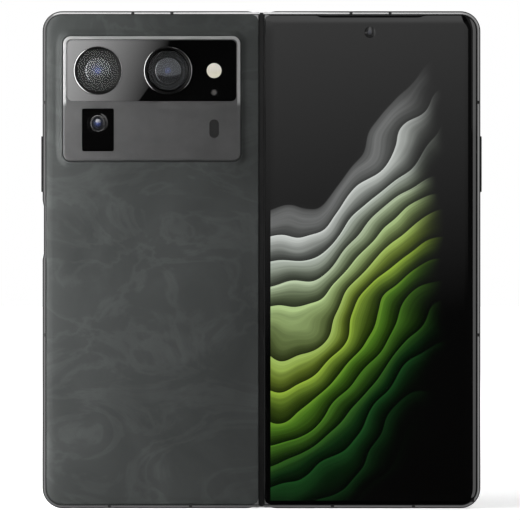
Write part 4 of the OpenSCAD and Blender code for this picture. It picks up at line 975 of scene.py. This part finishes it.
soft_box("low_strip", (-0.165, -0.024, 0.10), (-0.03, 0.0, 0.09), (0.03, 0.22), 0.60, False)
soft_box("near_strip", (-0.118, -0.092, 0.10), (-0.03, 0.0, 0.09), (0.04, 0.24), 0.16)
soft_box("key_box", (-0.34, -0.40, 0.16), (-0.03, 0.0, 0.08), (0.25, 0.40), 0.26)
soft_box("fill_box", (0.55, -0.80, 0.45), (0.0, 0.0, 0.08), (0.6, 0.6), 0.3)
soft_box("top_strip", (-0.02, -0.10, 0.48), (0.0, 0.0, 0.15), (0.5, 0.06), 0.13)
soft_box("right_strip", (0.225, -0.36, 0.10), (0.07, 0.0, 0.08), (0.06, 0.45), 0.18)
soft_box("rear_box", (0.45, 0.75, 0.45), (0.0, 0.0, 0.08), (0.6, 0.6), 3.0)

# %% [markdown]
# ## Cards for the black glass
# Black glass has no colour to show, so a photographer holds a pale card where the glass mirrors it. The
# window's card is bright at its left and darker to its right, and its slanted edge makes the diagonal across
# the island's window. The cover glass has a dim one that fades to nothing at its foot. Only reflections see
# them.

# %% Reflection cards
CARD_Y, GLASS_Y = -1500.0, -3.85
REACH = (GLASS_Y - CARD_Y) / (GLASS_Y - CAMERA[1])


def mirrored(x, z):
    """Where the camera's ray through a point of the glass meets the cards' plane after it is mirrored:
    p + (p - camera) reach, in metres. The reach is the glass's distance to the cards over its distance to
    the camera."""
    return ((x + (x - CAMERA[0]) * REACH) * MM, CARD_Y * MM, (z + (z - CAMERA[2]) * REACH) * MM)


def hold_card(name, corners, left_light, right_fall, up_gain, most):
    """A glowing quad in the card plane. Seen in the glass at (x, z) its strength is
    left_light - right_fall (x + 62) + up_gain (z - 147.5), between 0 and most."""
    mesh = bpy.data.meshes.new(name)
    mesh.from_pydata([mirrored(*c) for c in corners], [], [(0, 1, 2, 3)])
    card = bpy.data.objects.new(name, mesh)
    bpy.context.scene.collection.objects.link(card)
    card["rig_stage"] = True
    card.visible_camera = card.visible_diffuse = card.visible_transmission = card.visible_shadow = False
    glow = bpy.data.materials.new(name + "_glow")
    glow.use_nodes = True
    glow.node_tree.nodes.clear()
    card_x, _, card_z = axes(glow, place(glow))
    seen_x = sums(glow, "MULTIPLY_ADD", card_x, 1 / (1 + REACH), 62 + CAMERA[0] * REACH / (1 + REACH))
    seen_z = sums(glow, "MULTIPLY_ADD", card_z, 1 / (1 + REACH), CAMERA[2] * REACH / (1 + REACH) - 147.5)
    light = sums(glow, "MULTIPLY_ADD", seen_x, -right_fall, left_light)
    light = sums(glow, "MAXIMUM", sums(glow, "MULTIPLY_ADD", seen_z, up_gain, light), 0.0)
    light = sums(glow, "MINIMUM", light, most)
    emit = glow.node_tree.nodes.new("ShaderNodeEmission")
    glow.node_tree.links.new(light, emit.inputs["Strength"])
    end = glow.node_tree.nodes.new("ShaderNodeOutputMaterial")
    glow.node_tree.links.new(emit.outputs[0], end.inputs[0])
    mesh.materials.append(glow)
    print(name, "held at y -1.5 m")


hold_card("window_card", [(-66, 129.6), (-39.9, 129.6), (-22.7, 153), (-66, 153)], 8.7, 0.27, 0.10, 12.0)
hold_card("screen_card", [(-7.5, -8), (90, -8), (90, 430), (-7.5, 430)], 0.86, 0.0015, 0.0078, 1.7)

# %% [markdown]
# ## The last settings
# Colours are shown plainly, with no film look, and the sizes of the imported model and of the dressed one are
# written down side by side.

# %% Finish
bpy.context.scene.view_settings.view_transform = "Standard"
dressed_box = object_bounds()
for title, box in (("cad", cad_box), ("dressed", dressed_box)):
    print(title, [[round(v / MM, 2) for v in p] for p in box])
